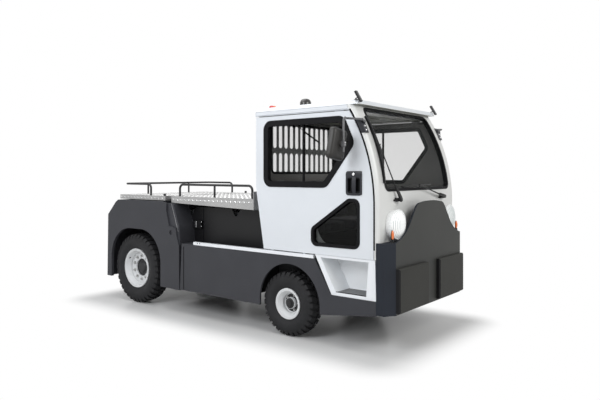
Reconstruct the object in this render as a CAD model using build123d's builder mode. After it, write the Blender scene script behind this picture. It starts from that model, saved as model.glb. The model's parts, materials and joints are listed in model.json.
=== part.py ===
from build123d import *
import math
import os

os.makedirs("parts", exist_ok=True)

# Airport baggage tug. Millimetres. X to the vehicle's left, Y to the rear, Z up.
# The origin is on the ground, at the centre of the plan.

# ---------------------------------------------------------------- driving dimensions
wheelbase = 2098.0
front_overhang = 1047.0        # front axle to the faces of the bumper pads
rear_overhang = 476.0          # rear axle to the rear panel
hitch_reach = 130.0            # rear panel to the ends of the coupling jaws
body_width = 1336.0            # over the skirts and the doors
fit_gap = 0.3                  # between a turning piece and its seat
running_gap = 8.0              # between moving pieces and what they pass

overall_length = front_overhang + wheelbase + rear_overhang + hitch_reach
front_axle_y = front_overhang - overall_length / 2
rear_axle_y = front_axle_y + wheelbase
rear_face_y = rear_axle_y + rear_overhang
pad_face_y = front_axle_y - front_overhang
side_x = body_width / 2

# wheels
rear_tyre_radius = 367.0
rear_tyre_width = 190.0
rear_rim_radius = 190.0
rear_hub_radius = 92.0
rear_hub_step = -15.0          # hub's face from the disc's face, outward
front_tyre_radius = 274.0
front_tyre_width = 160.0
front_rim_radius = 114.0
front_hub_radius = 45.0
front_hub_step = 37.5
tyre_inset = 25.0              # tyre's outer face behind the skirt's face
bead_share = 0.37              # wheel's middle to the bead, as a share of the tyre's width
rim_wall = 6.0
flange_lip = 8.0
disc_depth = 70.0              # disc's face behind the flange
disc_plate = 10.0
hub_plate = 14.0
sleeve_length = 40.0
sleeve_wall = 12.0
spindle_radius = 30.0
boss_radius = 36.0
kingpin_offset = 108.0         # wheel centre to kingpin
kingpin_radius = 18.0
steer_arm_length = 130.0
tie_rod_radius = 13.0
rear_wheel_x = side_x - tyre_inset - rear_tyre_width / 2
front_wheel_x = side_x - tyre_inset - front_tyre_width / 2
kingpin_x = front_wheel_x - kingpin_offset
front_axle_z = front_tyre_radius
rear_axle_z = rear_tyre_radius
rear_disc_x = rear_tyre_width * bead_share + fit_gap + flange_lip - disc_depth
front_disc_x = front_tyre_width * bead_share + fit_gap + flange_lip - disc_depth
rear_spindle_end = rear_disc_x + rear_hub_step - hub_plate - fit_gap
front_spindle_end = front_disc_x + front_hub_step - hub_plate - fit_gap

# frame
rail_half_gauge = 232.0
rail_plate = 16.0
front_rail_bottom = 330.0
floor_bottom = 625.0
floor_plate = 12.0
rear_rail_bottom = 450.0
rear_rail_top = 700.0
bay_start = 430.0              # front axle to the battery bay's front wall
bay_wall = 10.0
bay_half_width = 445.0
hinge_back = -538.0            # rear end of the bay and the cover's hinge, from the rear axle
panel_gap = 8.0
notch_front = 355.0            # notches and split of the side panels, from the bay's ends
notch_rear = 145.0
panel_tail = 320.0
bay_floor_z = 290.0
bay_top = 1040.0
ledge_z = 690.0                # top of the skirts
skirt_plate = 20.0
skirt_bottom = 234.0

# skirts and front arch
front_arch_radius = 325.0
front_arch_lead = 40.0         # arch centre ahead of the axle
front_arch_z = 296.0
step_back_top = 311.0          # stations ahead of the front axle
step_back_low = 475.0
step_front = front_overhang - 160
step_low_z = 417.0
step_top_z = 725.0
step_ledge_z = 443.0
step_depth = 210.0
step_panel_inset = 4.0
rail_top_z = 718.0
rail_width = 28.0
rail_rear = 1148.0             # end of the door rail behind the front axle

# front bumper
bumper_bottom = 315.0
bumper_side_top = 855.0
pad_thickness = 35.0
bumper_plate_lead = front_overhang - pad_thickness      # ahead of the axle
bumper_corner = bumper_plate_lead - 57                  # start of the chamfer
bumper_plate = 14.0
bumper_flat_half = 587.0
hump_top = 1157.0
hump_line = (                  # shares of the flat's half width and of the hump's height
    (1, 0),
    (0.785, 0.161),
    (0.630, 0.406),
    (0.448, 0.839),
    (0.405, 0.913),
    (0.352, 0.950),
    (0.182, 0.990),
    (0, 1),
)
pad_inner = 100.0
pad_low = 331.0
pad_high = 665.0

# nose of the cab, an upright wall that bends back in one arc
nose_lead = bumper_plate_lead - 100
nose_radius = 1400.0
nose_bend_z = 1130.0
cowl_wall = 40.0
cowl_skirt_wall = 14.0         # thin part behind the bumper's sides
cowl_corner = 30.0
screen_low = 1240.0
screen_low_half = 573.0
screen_high_half = 548.0
screen_corner = 60.0
screen_seal = 22.0
glass_wall = 6.0
nose_y_front = front_axle_y - nose_lead
nose_centre_y = nose_y_front + nose_radius
seam_radius = nose_radius - cowl_wall

# roof
roof_low = 1873.0
roof_edge = 35.0               # height of the upright edge
roof_rise = 40.0
roof_shoulder = roof_low + roof_edge
roof_top = roof_shoulder + roof_rise
cowl_high = roof_shoulder + 8
screen_high = cowl_high - 13
roof_overhang = 8.0
roof_bevel = 36.0
roof_lead = 722.0
groove_width = 26.0
groove_depth = 22.0

# doors
door_wall = 40.0
door_low = 727.0
door_waist = 1258.0
door_rear_low = 237.0          # stations of the rear edge behind the front axle
door_rear = 328.0
door_gap = 6.0
window_top = roof_low - 42
upper_window = ((238, window_top), (238, 1263), (-430, 1263), (-703, 1612), (-600, window_top))
lower_window = ((-278, 792), (-278, 938), (-640, 1185), (-746, 1185), (-746, 795))
window_corner = 80.0
window_seal = 50.0
lower_corner = 55.0
lower_seal = 26.0
seal_lip = 4.0
seal_cover = 12.0
glass_set_in = 18.0            # outer face of the glass behind the door's face
handle_station = -697.0
handle_z = 1306.0
handle_width = 134.0
handle_height = 180.0
handle_depth = 26.0

# cab inside
cab_half = side_x - door_wall - running_gap
rear_wall = 40.0
rear_window_half = 520.0
rear_window_low = 1372.0
rear_window_high = roof_low - 31
rear_window_corner = 60.0
slot_count = 13
slot_pitch = 80.0
slot_width = 48.0
slot_rows = ((1390, 1567), (1611, rear_window_high - 16))    # lower end, upper end
guard_plate = 4.0
guard_gap = 12.0
seat_x = 300.0
seat_width = 460.0
cushion_top = 950.0
cushion_wall = 90.0
steering_wheel_radius = 190.0
steering_hub_station = -480.0
steering_hub_z = 1180.0
hub_drop = 26.0
dash_top = 1215.0
seat_front = -230.0
seat_rear = 150.0

# rear body
rear_arch_front = -452.0       # from the rear axle
rear_arch_back = 397.0
rear_arch_top = 793.0
rear_arch_corner = 330.0
body_plate = 12.0
cover_plate = 18.0
rear_deck_low = 1101.0
rear_deck_top = 1148.0
rear_deck_front = -464.0
rear_deck_back = 310.0
rear_body_top = 1093.0
deck_half = 615.0
deck_plate = 6.0
tube_radius = 11.0
tube_bend = 45.0
rail_height = 119.0            # rear deck to the rails' centre
rail_inset = 15.0
luggage_rail_z = rear_deck_top + rail_height
luggage_rail_x = deck_half - rail_inset

# battery cover
cover_top = 1150.0
cover_middle = 6.0             # rails' middle post ahead of the middle
cover_rail_front = 29.0        # rails' ends from the cover's ends
cover_rail_rear = 114.0
cover_low_rear = 1083.0
cover_low_front = 1051.0
cover_front = 407.0
cover_upstand = 66.0
hinge_drop = 18.0              # hinge axis below the cover's top
hinge_pin_radius = 8.0
battery_clearance = 55.0       # to the bay's end walls
battery_width = 830.0
battery_height = 700.0

# coupling
jaw_levels = (330.0, 430.0, 530.0)          # undersides of the jaws
jaw_plate = 20.0
jaw_width = 120.0
jaw_hole_radius = 16.25
tow_pin_radius = 16.0
coupling_plate = 20.0


def y_at(station):
    """Y of a station measured to the rear of the front axle."""
    return front_axle_y + station


def y_rear(station):
    """Y of a station measured to the rear of the rear axle."""
    return rear_axle_y + station


def nose_y(radius, height):
    """Y of the nose's arc of a radius, at a height above the bend."""
    return nose_centre_y - math.sqrt(radius**2 - (height - nose_bend_z) ** 2)


def block(x_limits, y_limits, z_limits, mode=Mode.ADD):
    """A box between its limits, in the part being built."""
    centre = [sum(limits) / 2 for limits in (x_limits, y_limits, z_limits)]
    sides = [limits[1] - limits[0] for limits in (x_limits, y_limits, z_limits)]
    with Locations(tuple(centre)):
        Box(*sides, mode=mode)


def side_prism(x_limits, points, mode=Mode.ADD):
    """A side-view outline of (y, z) points, extruded across the vehicle."""
    with BuildSketch(Plane.YZ.offset(x_limits[0])) as outline:
        with BuildLine():
            Polyline(*points, close=True)
        make_face()
    extrude(outline.sketch, amount=x_limits[1] - x_limits[0], mode=mode)


def nose_band(x_limits, inner, outer, low, high, mode=Mode.ADD):
    """A wall that follows the nose between two radii and two heights."""
    bend = max(low, nose_bend_z)
    middle = (bend + high) / 2
    with BuildSketch(Plane.YZ.offset(x_limits[0])) as outline:
        with BuildLine():
            front, back = [
                ThreePointArc(*[(nose_y(radius, z), z) for z in (bend, middle, high)])
                for radius in (outer, inner)
            ]
            Line(front @ 1, back @ 1)
            if low < bend:
                foot_front = (nose_y(outer, bend), low)
                foot_back = (nose_y(inner, bend), low)
                Polyline(front @ 0, foot_front, foot_back, back @ 0)
            else:
                Line(front @ 0, back @ 0)
        make_face()
    extrude(outline.sketch, amount=x_limits[1] - x_limits[0], mode=mode)


def tube(points, radius=tube_radius, bend=tube_bend):
    """A round bar along straight runs joined by bends."""
    with BuildLine() as route:
        if len(points) > 2:
            FilletPolyline(*points, radius=bend)
        else:
            Line(*points)
    path = route.line
    with BuildSketch(Plane(origin=path @ 0, z_dir=path % 0)) as section:
        Circle(radius)
    sweep(section.sketch, path=path)


def x_cylinder(x_limits, y, z, radius, mode=Mode.ADD):
    """A cylinder along X between its limits."""
    with BuildSketch(Plane.YZ.offset(x_limits[0])) as disc:
        with Locations((y, z)):
            Circle(radius)
    extrude(disc.sketch, amount=x_limits[1] - x_limits[0], mode=mode)


def z_cylinder(x, y, z_limits, radius, mode=Mode.ADD):
    """A cylinder along Z between its limits."""
    with BuildSketch(Plane.XY.offset(z_limits[0])) as disc:
        with Locations((x, y)):
            Circle(radius)
    extrude(disc.sketch, amount=z_limits[1] - z_limits[0], mode=mode)


# ---------------------------------------------------------------- chassis frame
bay_front_y = y_at(bay_start)
bay_rear_y = y_rear(hinge_back)
rail_front_y = front_axle_y - nose_lead + cowl_wall
inner_rear_y = rear_face_y - cover_plate - body_plate
body_front_low = -743.0        # side of the rear body, from the rear axle
skirt_gap = 11.0
skirt_rear_low = y_rear(body_front_low) - skirt_gap
skirt_rear_high = skirt_rear_low - 25

with BuildPart() as chassis_frame:
    rail_x = (rail_half_gauge - rail_plate / 2, rail_half_gauge + rail_plate / 2)
    block(rail_x, (rail_front_y, bay_front_y), (front_rail_bottom, floor_bottom))
    block(rail_x, (bay_rear_y, inner_rear_y), (rear_rail_bottom, rear_rail_top))
    half_floor = (0, side_x - skirt_plate)
    floor_z = (bay_floor_z, bay_floor_z + bay_wall)
    block(half_floor, (bay_front_y, skirt_rear_high), floor_z)
    bay_wall_x = (0, bay_half_width)
    block(bay_wall_x, (bay_front_y, bay_rear_y), floor_z)
    for wall_y in (bay_front_y, bay_rear_y - bay_wall):
        block(bay_wall_x, (wall_y, wall_y + bay_wall), (bay_floor_z, bay_top - 20))
    bumper_beam_x = (0, side_x - step_panel_inset - step_depth - 1)
    block(bumper_beam_x, (rail_front_y - bay_wall, rail_front_y), (bumper_bottom + 20, floor_bottom))
    mirror(about=Plane.YZ)
chassis_frame.part.label = "chassis_frame"
export_step(chassis_frame.part, "parts/chassis_frame.step")

# ---------------------------------------------------------------- skirts
arch_y = front_axle_y - front_arch_lead
front_low_z = 306.0
with BuildPart() as side_skirts:
    with BuildSketch(Plane.YZ.offset(side_x - skirt_plate)):
        with BuildLine():
            arch = CenterArc((arch_y, front_arch_z), front_arch_radius, 0, 180)
            Polyline(
                arch @ 0,
                (arch_y + front_arch_radius, skirt_bottom),
                (skirt_rear_low, skirt_bottom),
                (skirt_rear_high, ledge_z),
                (y_at(-step_back_top), ledge_z),
                (y_at(-step_back_low), step_low_z),
                (y_at(-step_front), step_low_z),
                (y_at(-step_front), front_low_z),
                (arch_y - front_arch_radius, skirt_bottom + 8),
                arch @ 1,
            )
        make_face()
    extrude(amount=skirt_plate)
    ledge_x = (bay_half_width, side_x - skirt_plate)
    block(ledge_x, (bay_front_y, skirt_rear_high), (ledge_z - bay_wall, ledge_z))
    mirror(about=Plane.YZ)
side_skirts.part.label = "side_skirts"
export_step(side_skirts.part, "parts/side_skirts.step")

# white trims: the door's lower rail on the sill, and the step in front of the wheel
with BuildPart() as sill_panels:
    rail_x = (side_x - rail_width, side_x)
    block(rail_x, (y_at(-step_back_top + 12), y_at(rail_rear)), (ledge_z, rail_top_z))
    panel_x = side_x - step_panel_inset
    step_outline = (
        (y_at(-step_back_top - 4), step_top_z),
        (y_at(-step_back_low - 4), step_low_z + fit_gap),
        (y_at(-step_front + 1), step_low_z + fit_gap),
        (y_at(-step_front + 9), step_top_z),
    )
    side_prism((panel_x - step_depth, panel_x), step_outline)
    step_hollow = (
        (y_at(-step_back_top - 60), step_top_z - 20),
        (y_at(-step_back_low - 47), step_ledge_z),
        (y_at(-step_front + 88), step_ledge_z),
        (y_at(-step_front + 66), step_top_z - 20),
    )
    side_prism((panel_x - step_depth + 8, panel_x), step_hollow, mode=Mode.SUBTRACT)
    mirror(about=Plane.YZ)
sill_panels.part.label = "sill_panels"
export_step(sill_panels.part, "parts/sill_panels.step")

# ---------------------------------------------------------------- front bumper
bumper_face_y = y_at(-bumper_plate_lead)
with BuildPart() as front_bumper:
    with BuildSketch(Plane.XY.offset(bumper_bottom)):
        with BuildLine():
            plan = Polyline(
                (side_x, y_at(-step_front) - 1),
                (side_x, y_at(-bumper_corner)),
                (bumper_flat_half, bumper_face_y),
                (-bumper_flat_half, bumper_face_y),
                (-side_x, y_at(-bumper_corner)),
                (-side_x, y_at(-step_front) - 1),
            )
            offset(plan, amount=bumper_plate, side=Side.RIGHT)
        make_face()
    extrude(amount=bumper_side_top - bumper_bottom)
    # the plate rises between the lamps as a rounded hump
    with BuildSketch(Plane.XZ.offset(-bumper_face_y - bumper_plate)):
        with BuildLine():
            foot, hollow, shoulder, brow, bend, crest, dome, peak = [
                (bumper_flat_half * part_x, bumper_side_top + (hump_top - bumper_side_top) * part_z)
                for part_x, part_z in hump_line
            ]
            ThreePointArc(foot, hollow, shoulder)
            Line(shoulder, brow)
            ThreePointArc(brow, bend, crest)
            ThreePointArc(crest, dome, peak)
            Polyline(peak, (0, bumper_side_top), foot)
        make_face()
        mirror(about=Plane.YZ)
    extrude(amount=bumper_plate)
    # shelf that closes the bumper's top back to the nose
    with BuildSketch(Plane.XY.offset(bumper_side_top - bumper_plate)):
        Polygon(
            (side_x, y_at(-bumper_corner)),
            (bumper_flat_half, bumper_face_y),
            (-bumper_flat_half, bumper_face_y),
            (-side_x, y_at(-bumper_corner)),
            (-side_x, nose_y_front - 1),
            (side_x, nose_y_front - 1),
            align=None,
        )
    extrude(amount=bumper_plate)
    # two brackets carry the bumper on the frame's front beam
    for bracket_x in (-rail_half_gauge, rail_half_gauge):
        bracket_y = (bumper_face_y + bumper_plate, rail_front_y - bay_wall)
        bracket_z = (front_rail_bottom + 70, floor_bottom - 65)
        block((bracket_x - 40, bracket_x + 40), bracket_y, bracket_z)
front_bumper.part.label = "front_bumper"
export_step(front_bumper.part, "parts/front_bumper.step")

with BuildPart() as bumper_pads:
    block((pad_inner, bumper_flat_half), (pad_face_y, bumper_face_y), (pad_low, pad_high))
    pad_edges = bumper_pads.edges().group_by(Axis.Y)[0]
    chamfer(pad_edges, length=10)
    mirror(about=Plane.YZ)
bumper_pads.part.label = "bumper_pads"
export_step(bumper_pads.part, "parts/bumper_pads.step")


# ---------------------------------------------------------------- nose and windscreen
def screen_outline(inset):
    """Windscreen outline in the front view, shrunk by an inset."""
    with BuildSketch(Plane.XZ.offset(-nose_centre_y)) as outline:
        with BuildLine():
            FilletPolyline(
                (-screen_low_half, screen_low),
                (screen_low_half, screen_low),
                (screen_high_half, screen_high),
                (-screen_high_half, screen_high),
                radius=screen_corner,
                close=True,
            )
        make_face()
        if inset:
            offset(amount=-inset, mode=Mode.REPLACE)
    return outline.sketch


screen_throw = nose_radius + 50
with BuildPart() as front_cowl:
    nose_band((-side_x, side_x), seam_radius, nose_radius, bumper_side_top + 1, cowl_high)
    corner_edges = front_cowl.edges().filter_by(GeomType.LINE).filter_by(Axis.Z)
    upright = corner_edges.filter_by_position(Axis.Y, nose_y_front - 1, nose_y_front + 1)
    arcs = front_cowl.edges().filter_by(GeomType.CIRCLE)
    outer_arcs = arcs.filter_by(lambda edge: abs(edge.radius - nose_radius) < 1)
    fillet(upright + outer_arcs, radius=cowl_corner)
    extrude(screen_outline(0), amount=screen_throw, mode=Mode.SUBTRACT)
    seam_y = nose_y_front + cowl_wall
    block((-side_x, side_x), (seam_y - cowl_skirt_wall, seam_y), (step_top_z + 2, bumper_side_top + 2))
front_cowl.part.label = "front_cowl"
export_step(front_cowl.part, "parts/front_cowl.step")

glass_outer = nose_radius - 14
with BuildPart() as cab_glass:
    band_x = (-screen_low_half, screen_low_half)
    nose_band(band_x, glass_outer - glass_wall, glass_outer, screen_low - 5, screen_high + 5)
    extrude(screen_outline(screen_seal), amount=screen_throw, mode=Mode.INTERSECT)
    rear_glass_y = y_at(door_rear) - rear_wall / 2
    with BuildSketch(Plane.XZ.offset(-rear_glass_y)):
        with Locations((0, (rear_window_low + rear_window_high) / 2)):
            height = rear_window_high - rear_window_low - 2 * screen_seal
            width = 2 * (rear_window_half - screen_seal)
            RectangleRounded(width, height, rear_window_corner - screen_seal)
    extrude(amount=glass_wall)
cab_glass.part.label = "cab_glass"
export_step(cab_glass.part, "parts/cab_glass.step")

with BuildPart() as cab_seals:
    nose_band(band_x, seam_radius + 8, nose_radius + 5, screen_low - 5, screen_high + 5)
    extrude(screen_outline(0), amount=screen_throw, mode=Mode.INTERSECT)
    extrude(screen_outline(screen_seal), amount=screen_throw, mode=Mode.SUBTRACT)
    with BuildSketch(Plane.XZ.offset(-y_at(door_rear))):
        with Locations((0, (rear_window_low + rear_window_high) / 2)):
            height = rear_window_high - rear_window_low
            RectangleRounded(2 * rear_window_half, height, rear_window_corner)
            inner_width = 2 * (rear_window_half - screen_seal)
            inner_height = height - 2 * screen_seal
            inner_corner = rear_window_corner - screen_seal
            RectangleRounded(inner_width, inner_height, inner_corner, mode=Mode.SUBTRACT)
    extrude(amount=rear_wall)
cab_seals.part.label = "cab_seals"
export_step(cab_seals.part, "parts/cab_seals.step")

# ---------------------------------------------------------------- floor, walls, roof
rear_slope = (door_rear - door_rear_low) / (door_waist - door_low)
floor_top = floor_bottom + floor_plate
with BuildPart() as cab_floor:
    floor_front = rail_front_y + fit_gap
    floor_rear = y_at(door_rear_low)
    inner_sill = side_x - step_panel_inset - step_depth - 1
    block((-cab_half, cab_half), (y_at(-step_back_top) + 1, floor_rear), (floor_bottom, floor_top))
    block((-inner_sill, inner_sill), (floor_front, y_at(-step_back_top) + 1), (floor_bottom, floor_top))
    for sign in (-1, 1):
        sill_x = sorted((sign * (cab_half - 24), sign * cab_half))
        block(sill_x, (y_at(-step_back_top) + 1, floor_rear - rear_wall), (floor_top, door_low))
    # box that carries the seats
    seat_box_x = (-cab_half + 60, cab_half - 60)
    seat_box_y = (y_at(seat_front + 20), y_at(seat_rear - 20))
    block(seat_box_x, seat_box_y, (floor_top, cushion_top - cushion_wall))
cab_floor.part.label = "cab_floor"
export_step(cab_floor.part, "parts/cab_floor.step")

with BuildPart() as rear_wall_panel:
    wall_outline = (
        (y_at(door_rear), roof_low),
        (y_at(door_rear), door_waist),
        (y_at(door_rear_low), door_low),
        (y_at(door_rear_low), floor_top),
        (y_at(door_rear_low) - rear_wall, floor_top),
        (y_at(door_rear_low) - rear_wall, door_low),
        (y_at(door_rear) - rear_wall, door_waist),
        (y_at(door_rear) - rear_wall, roof_low),
    )
    side_prism((-cab_half, cab_half), wall_outline)
    with BuildSketch(Plane.XZ.offset(-y_at(door_rear))):
        with Locations((0, (rear_window_low + rear_window_high) / 2)):
            height = rear_window_high - rear_window_low
            RectangleRounded(2 * rear_window_half, height, rear_window_corner)
    extrude(amount=rear_wall, mode=Mode.SUBTRACT)
rear_wall_panel.part.label = "rear_wall"
export_step(rear_wall_panel.part, "parts/rear_wall.step")

with BuildPart() as window_guard:
    guard_y = y_at(door_rear) + guard_gap
    guard_x = slot_count * slot_pitch / 2 + 20
    guard_low = slot_rows[0][0] - 40
    guard_high = slot_rows[1][1] + 30
    block((-guard_x, guard_x), (guard_y, guard_y + guard_plate), (guard_low, guard_high))
    with BuildSketch(Plane.XZ.offset(-guard_y - guard_plate)):
        for slot_low, slot_high in slot_rows:
            with Locations((0, (slot_low + slot_high) / 2)):
                with GridLocations(slot_pitch, 0, slot_count, 1):
                    SlotOverall(slot_high - slot_low, slot_width, rotation=90)
    extrude(amount=guard_plate, mode=Mode.SUBTRACT)
    for post_x in (-guard_x + 20, guard_x - 20):
        for post_z in (guard_low + 15, guard_high - 15):
            with BuildSketch(Plane.XZ.offset(-guard_y)):
                with Locations((post_x, post_z)):
                    Circle(9)
            extrude(amount=guard_gap)
window_guard.part.label = "window_guard"
export_step(window_guard.part, "parts/window_guard.step")

with BuildPart() as roof:
    brim_x = side_x + roof_overhang
    with BuildSketch(Plane.XZ.offset(-y_at(door_rear))):
        with BuildLine():
            Polyline(
                (-brim_x, roof_low),
                (brim_x, roof_low),
                (brim_x, roof_shoulder),
                (brim_x - roof_bevel, roof_top),
                (-brim_x + roof_bevel, roof_top),
                (-brim_x, roof_shoulder),
                close=True,
            )
        make_face()
    extrude(amount=roof_lead + door_rear)
    # the front is cut back under the brow to seat against the nose
    with BuildSketch(Plane.YZ.offset(-brim_x)):
        with BuildLine():
            seat = ThreePointArc(
                *[(nose_y(seam_radius - fit_gap, z), z) for z in (roof_low - 1, roof_low + 17, cowl_high)]
            )
            seat_front_y = y_at(-roof_lead) - 1
            Polyline(seat @ 1, (seat_front_y, cowl_high), (seat_front_y, roof_low - 1), seat @ 0)
        make_face()
    extrude(amount=2 * brim_x, mode=Mode.SUBTRACT)
    # grooves for the doors' upper guides, open to the rear
    groove_front = nose_y(seam_radius, roof_low) + 40
    for sign in (-1, 1):
        groove_centre = sign * (side_x - door_wall / 2)
        groove_x = (groove_centre - groove_width / 2, groove_centre + groove_width / 2)
        groove_y = (groove_front, y_at(door_rear) + 1)
        block(groove_x, groove_y, (roof_low, roof_low + groove_depth), mode=Mode.SUBTRACT)
roof.part.label = "roof"
export_step(roof.part, "parts/roof.step")


# ---------------------------------------------------------------- lamps
def lamp_pairs(x):
    """Both positions of a lamp that is fitted left and right."""
    return (-x, x)


headlamp_x = 465.0
headlamp_z = 987.0
headlamp_radius = 116.0
headlamp_body = 58.0
headlamp_dome = 38.0
with BuildPart() as headlamps:
    lens_y = nose_y_front - headlamp_body
    for lamp_x in lamp_pairs(headlamp_x):
        with BuildSketch(Plane.YZ.offset(lamp_x)):
            with BuildLine():
                rim_z = headlamp_z + headlamp_radius
                dome_edge = headlamp_radius - 8
                dome_radius = (dome_edge**2 + headlamp_dome**2) / (2 * headlamp_dome)
                dome_half = dome_radius - math.sqrt(dome_radius**2 - (dome_edge / 2) ** 2)
                dome = ThreePointArc(
                    (lens_y, headlamp_z + dome_edge),
                    (lens_y - headlamp_dome + dome_half, headlamp_z + dome_edge / 2),
                    (lens_y - headlamp_dome, headlamp_z),
                )
                Polyline(
                    dome @ 1,
                    (nose_y_front, headlamp_z),
                    (nose_y_front, rim_z),
                    (lens_y, rim_z),
                    dome @ 0,
                )
            make_face()
        revolve(axis=Axis((lamp_x, lens_y, headlamp_z), (0, 1, 0)))
headlamps.part.label = "headlamps"
export_step(headlamps.part, "parts/headlamps.step")

indicator_x = 580.0
indicator_z = 914.0
indicator_lead = headlamp_body + 2       # ahead of the nose, past the headlamp's rim
indicator_depth = 20.0
tail_lamp_x = 560.0
tail_lamp_z = 820.0
with BuildPart() as signal_lamps:
    # each indicator stands on the bumper's shelf on a short foot
    indicator_back = nose_y_front - indicator_lead
    with BuildSketch(Plane.XZ.offset(-indicator_back)):
        with Locations((indicator_x, indicator_z)):
            Ellipse(14, 36)
    extrude(amount=indicator_depth)
    foot_x = (indicator_x - 8, indicator_x + 8)
    foot_y = (indicator_back - indicator_depth + 3, indicator_back - 3)
    block(foot_x, foot_y, (bumper_side_top, indicator_z - 20))
    with BuildSketch(Plane.XZ.offset(-rear_face_y - 22)):
        with Locations((tail_lamp_x, tail_lamp_z)):
            RectangleRounded(90, 200, 15)
    extrude(amount=22)
    with BuildSketch(Plane.XY.offset(roof_top)):
        with Locations((500, y_at(door_rear - 46))):
            RectangleRounded(70, 60, 12)
    extrude(amount=38)
    mirror(about=Plane.YZ)
signal_lamps.part.label = "signal_lamps"
export_step(signal_lamps.part, "parts/signal_lamps.step")

work_lamp_x = 650.0
work_lamp_width = 28.0
work_lamp_depth = 20.0
work_lamp_length = 98.0
work_lamp_drop = 24.0          # lower end below the roof's top
work_lamp_lean = 31.0
lamp_seat_gap = 0.3
with BuildPart() as work_lights:
    # a slim lamp leans back over the brow's front edge, on a foot that stands on the roof
    lean = math.radians(work_lamp_lean)
    upward = Vector(0, math.sin(lean), math.cos(lean))
    outward = Vector(0, -math.cos(lean), math.sin(lean))
    brow_edge = Vector(work_lamp_x, y_at(-roof_lead), roof_top)
    below_edge = work_lamp_drop / math.cos(lean)
    lower_end = brow_edge + outward * (work_lamp_depth / 2 + lamp_seat_gap) - upward * below_edge
    with BuildSketch(Plane(origin=lower_end, x_dir=(1, 0, 0), z_dir=upward)):
        RectangleRounded(work_lamp_width, work_lamp_depth, 4)
    extrude(amount=work_lamp_length)
    foot_x = (work_lamp_x - work_lamp_width / 3, work_lamp_x + work_lamp_width / 3)
    block(foot_x, (brow_edge.Y - 3, brow_edge.Y + 36), (roof_top, roof_top + 14))
    mirror(about=Plane.YZ)
work_lights.part.label = "work_lights"
export_step(work_lights.part, "parts/work_lights.step")

beacon_x = -60.0
beacon_station = 250.0
with BuildPart() as beacon:
    z_cylinder(beacon_x, y_at(beacon_station), (roof_top, roof_top + 45), 62)
    z_cylinder(beacon_x, y_at(beacon_station), (roof_top + 45, roof_top + 140), 56)
    fillet(beacon.edges().group_by(Axis.Z)[-1], radius=32)
beacon.part.label = "beacon"
export_step(beacon.part, "parts/beacon.step")

# ---------------------------------------------------------------- wipers and mirrors
wiper_pivot_x = 399.0
wiper_z = 1178.0
blade_width = 12.0
with BuildPart() as wipers:
    for pivot_x in lamp_pairs(wiper_pivot_x):
        block((pivot_x - 32, pivot_x + 32), (nose_y_front - 34, nose_y_front), (wiper_z - 18, wiper_z + 14))
    lift = nose_radius + 8
    blade_x = screen_low_half + 25
    blade_z = (screen_low + 65, screen_high - 80)
    nose_band((-blade_x, -blade_x + blade_width), lift, lift + 18, *blade_z)
    arm_start = (-wiper_pivot_x, nose_y_front - 29, wiper_z)
    arm_z = sum(blade_z) / 2
    tube((arm_start, (-blade_x + 6, nose_y(lift + 16, arm_z), arm_z)), radius=6)
    park_low = screen_low + 35
    parked_end = (170, nose_y(lift + 14, park_low), park_low)
    tube(((wiper_pivot_x, nose_y_front - 29, wiper_z), parked_end), radius=6)
    nose_band((-330, 170), lift, lift + 14, park_low - 8, park_low + 8)
wipers.part.label = "wipers"
export_step(wipers.part, "parts/wipers.step")

mirror_x = 838.0
mirror_station = -655.0
mirror_z = 1600.0
mirror_high = 1795.0
with BuildPart() as mirrors:
    with BuildSketch(Plane.XZ.offset(-y_at(mirror_station) - 26)):
        with Locations((mirror_x, mirror_z)):
            RectangleRounded(180, 236, 24)
    extrude(amount=52)
    chamfer(mirrors.faces().sort_by(Axis.Y)[0].edges(), length=10)
    foot_x = (side_x - 58, side_x - 10)
    nose_band(foot_x, nose_radius + fit_gap, nose_radius + 10, mirror_high - 105, mirror_high + 5)
    bracket_y = nose_y(nose_radius + 14, mirror_high - 20)
    tube(
        (
            (side_x - 38, bracket_y, mirror_high - 20),
            (side_x + 32, bracket_y - 14, mirror_high),
            (mirror_x, y_at(mirror_station), mirror_high + 4),
            (mirror_x, y_at(mirror_station), mirror_z - 60),
        ),
        radius=8,
        bend=28,
    )
    mirror(about=Plane.YZ)
mirrors.part.label = "mirrors"
export_step(mirrors.part, "parts/mirrors.step")

# ---------------------------------------------------------------- inside the cab
dash_back = nose_y(seam_radius, dash_top) + 1
driver_x = -seat_x
hub_point = Vector(driver_x, y_at(steering_hub_station), steering_hub_z)
foot_point = Vector(driver_x, dash_back + 168, floor_top)
column_axis = (hub_point - foot_point).normalized()
with BuildPart() as dashboard:
    dash_outline = (
        (dash_back, dash_top),
        (dash_back + 148, dash_top),
        (dash_back + 218, dash_top - 55),
        (dash_back + 178, dash_top - 205),
        (dash_back, dash_top - 255),
    )
    side_prism((-cab_half + 20, cab_half - 20), dash_outline)
    # instrument cowl ahead of the driver
    side_prism(
        (driver_x - 150, driver_x + 150),
        (
            (dash_back + 78, dash_top - 5),
            (dash_back + 188, dash_top - 30),
            (dash_back + 178, dash_top + 25),
            (dash_back + 88, dash_top + 47),
        ),
    )
    with BuildSketch(Plane(origin=foot_point, z_dir=column_axis)):
        Circle(24)
    extrude(amount=(hub_point - foot_point).length - hub_drop - fit_gap)
    foot_box_y = (dash_back + 108, dash_back + 208)
    block((driver_x - 60, driver_x + 60), foot_box_y, (floor_top, floor_top + 60))
    for pedal_x in (driver_x - 95, driver_x + 105):
        side_prism(
            (pedal_x - 30, pedal_x + 30),
            (
                (dash_back + 68, floor_top),
                (dash_back + 88, floor_top),
                (dash_back + 153, floor_top + 123),
                (dash_back + 133, floor_top + 128),
            ),
        )
    split(bisect_by=Plane.XY.offset(floor_top), keep=Keep.TOP)
dashboard.part.label = "dashboard"
export_step(dashboard.part, "parts/dashboard.step")

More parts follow.
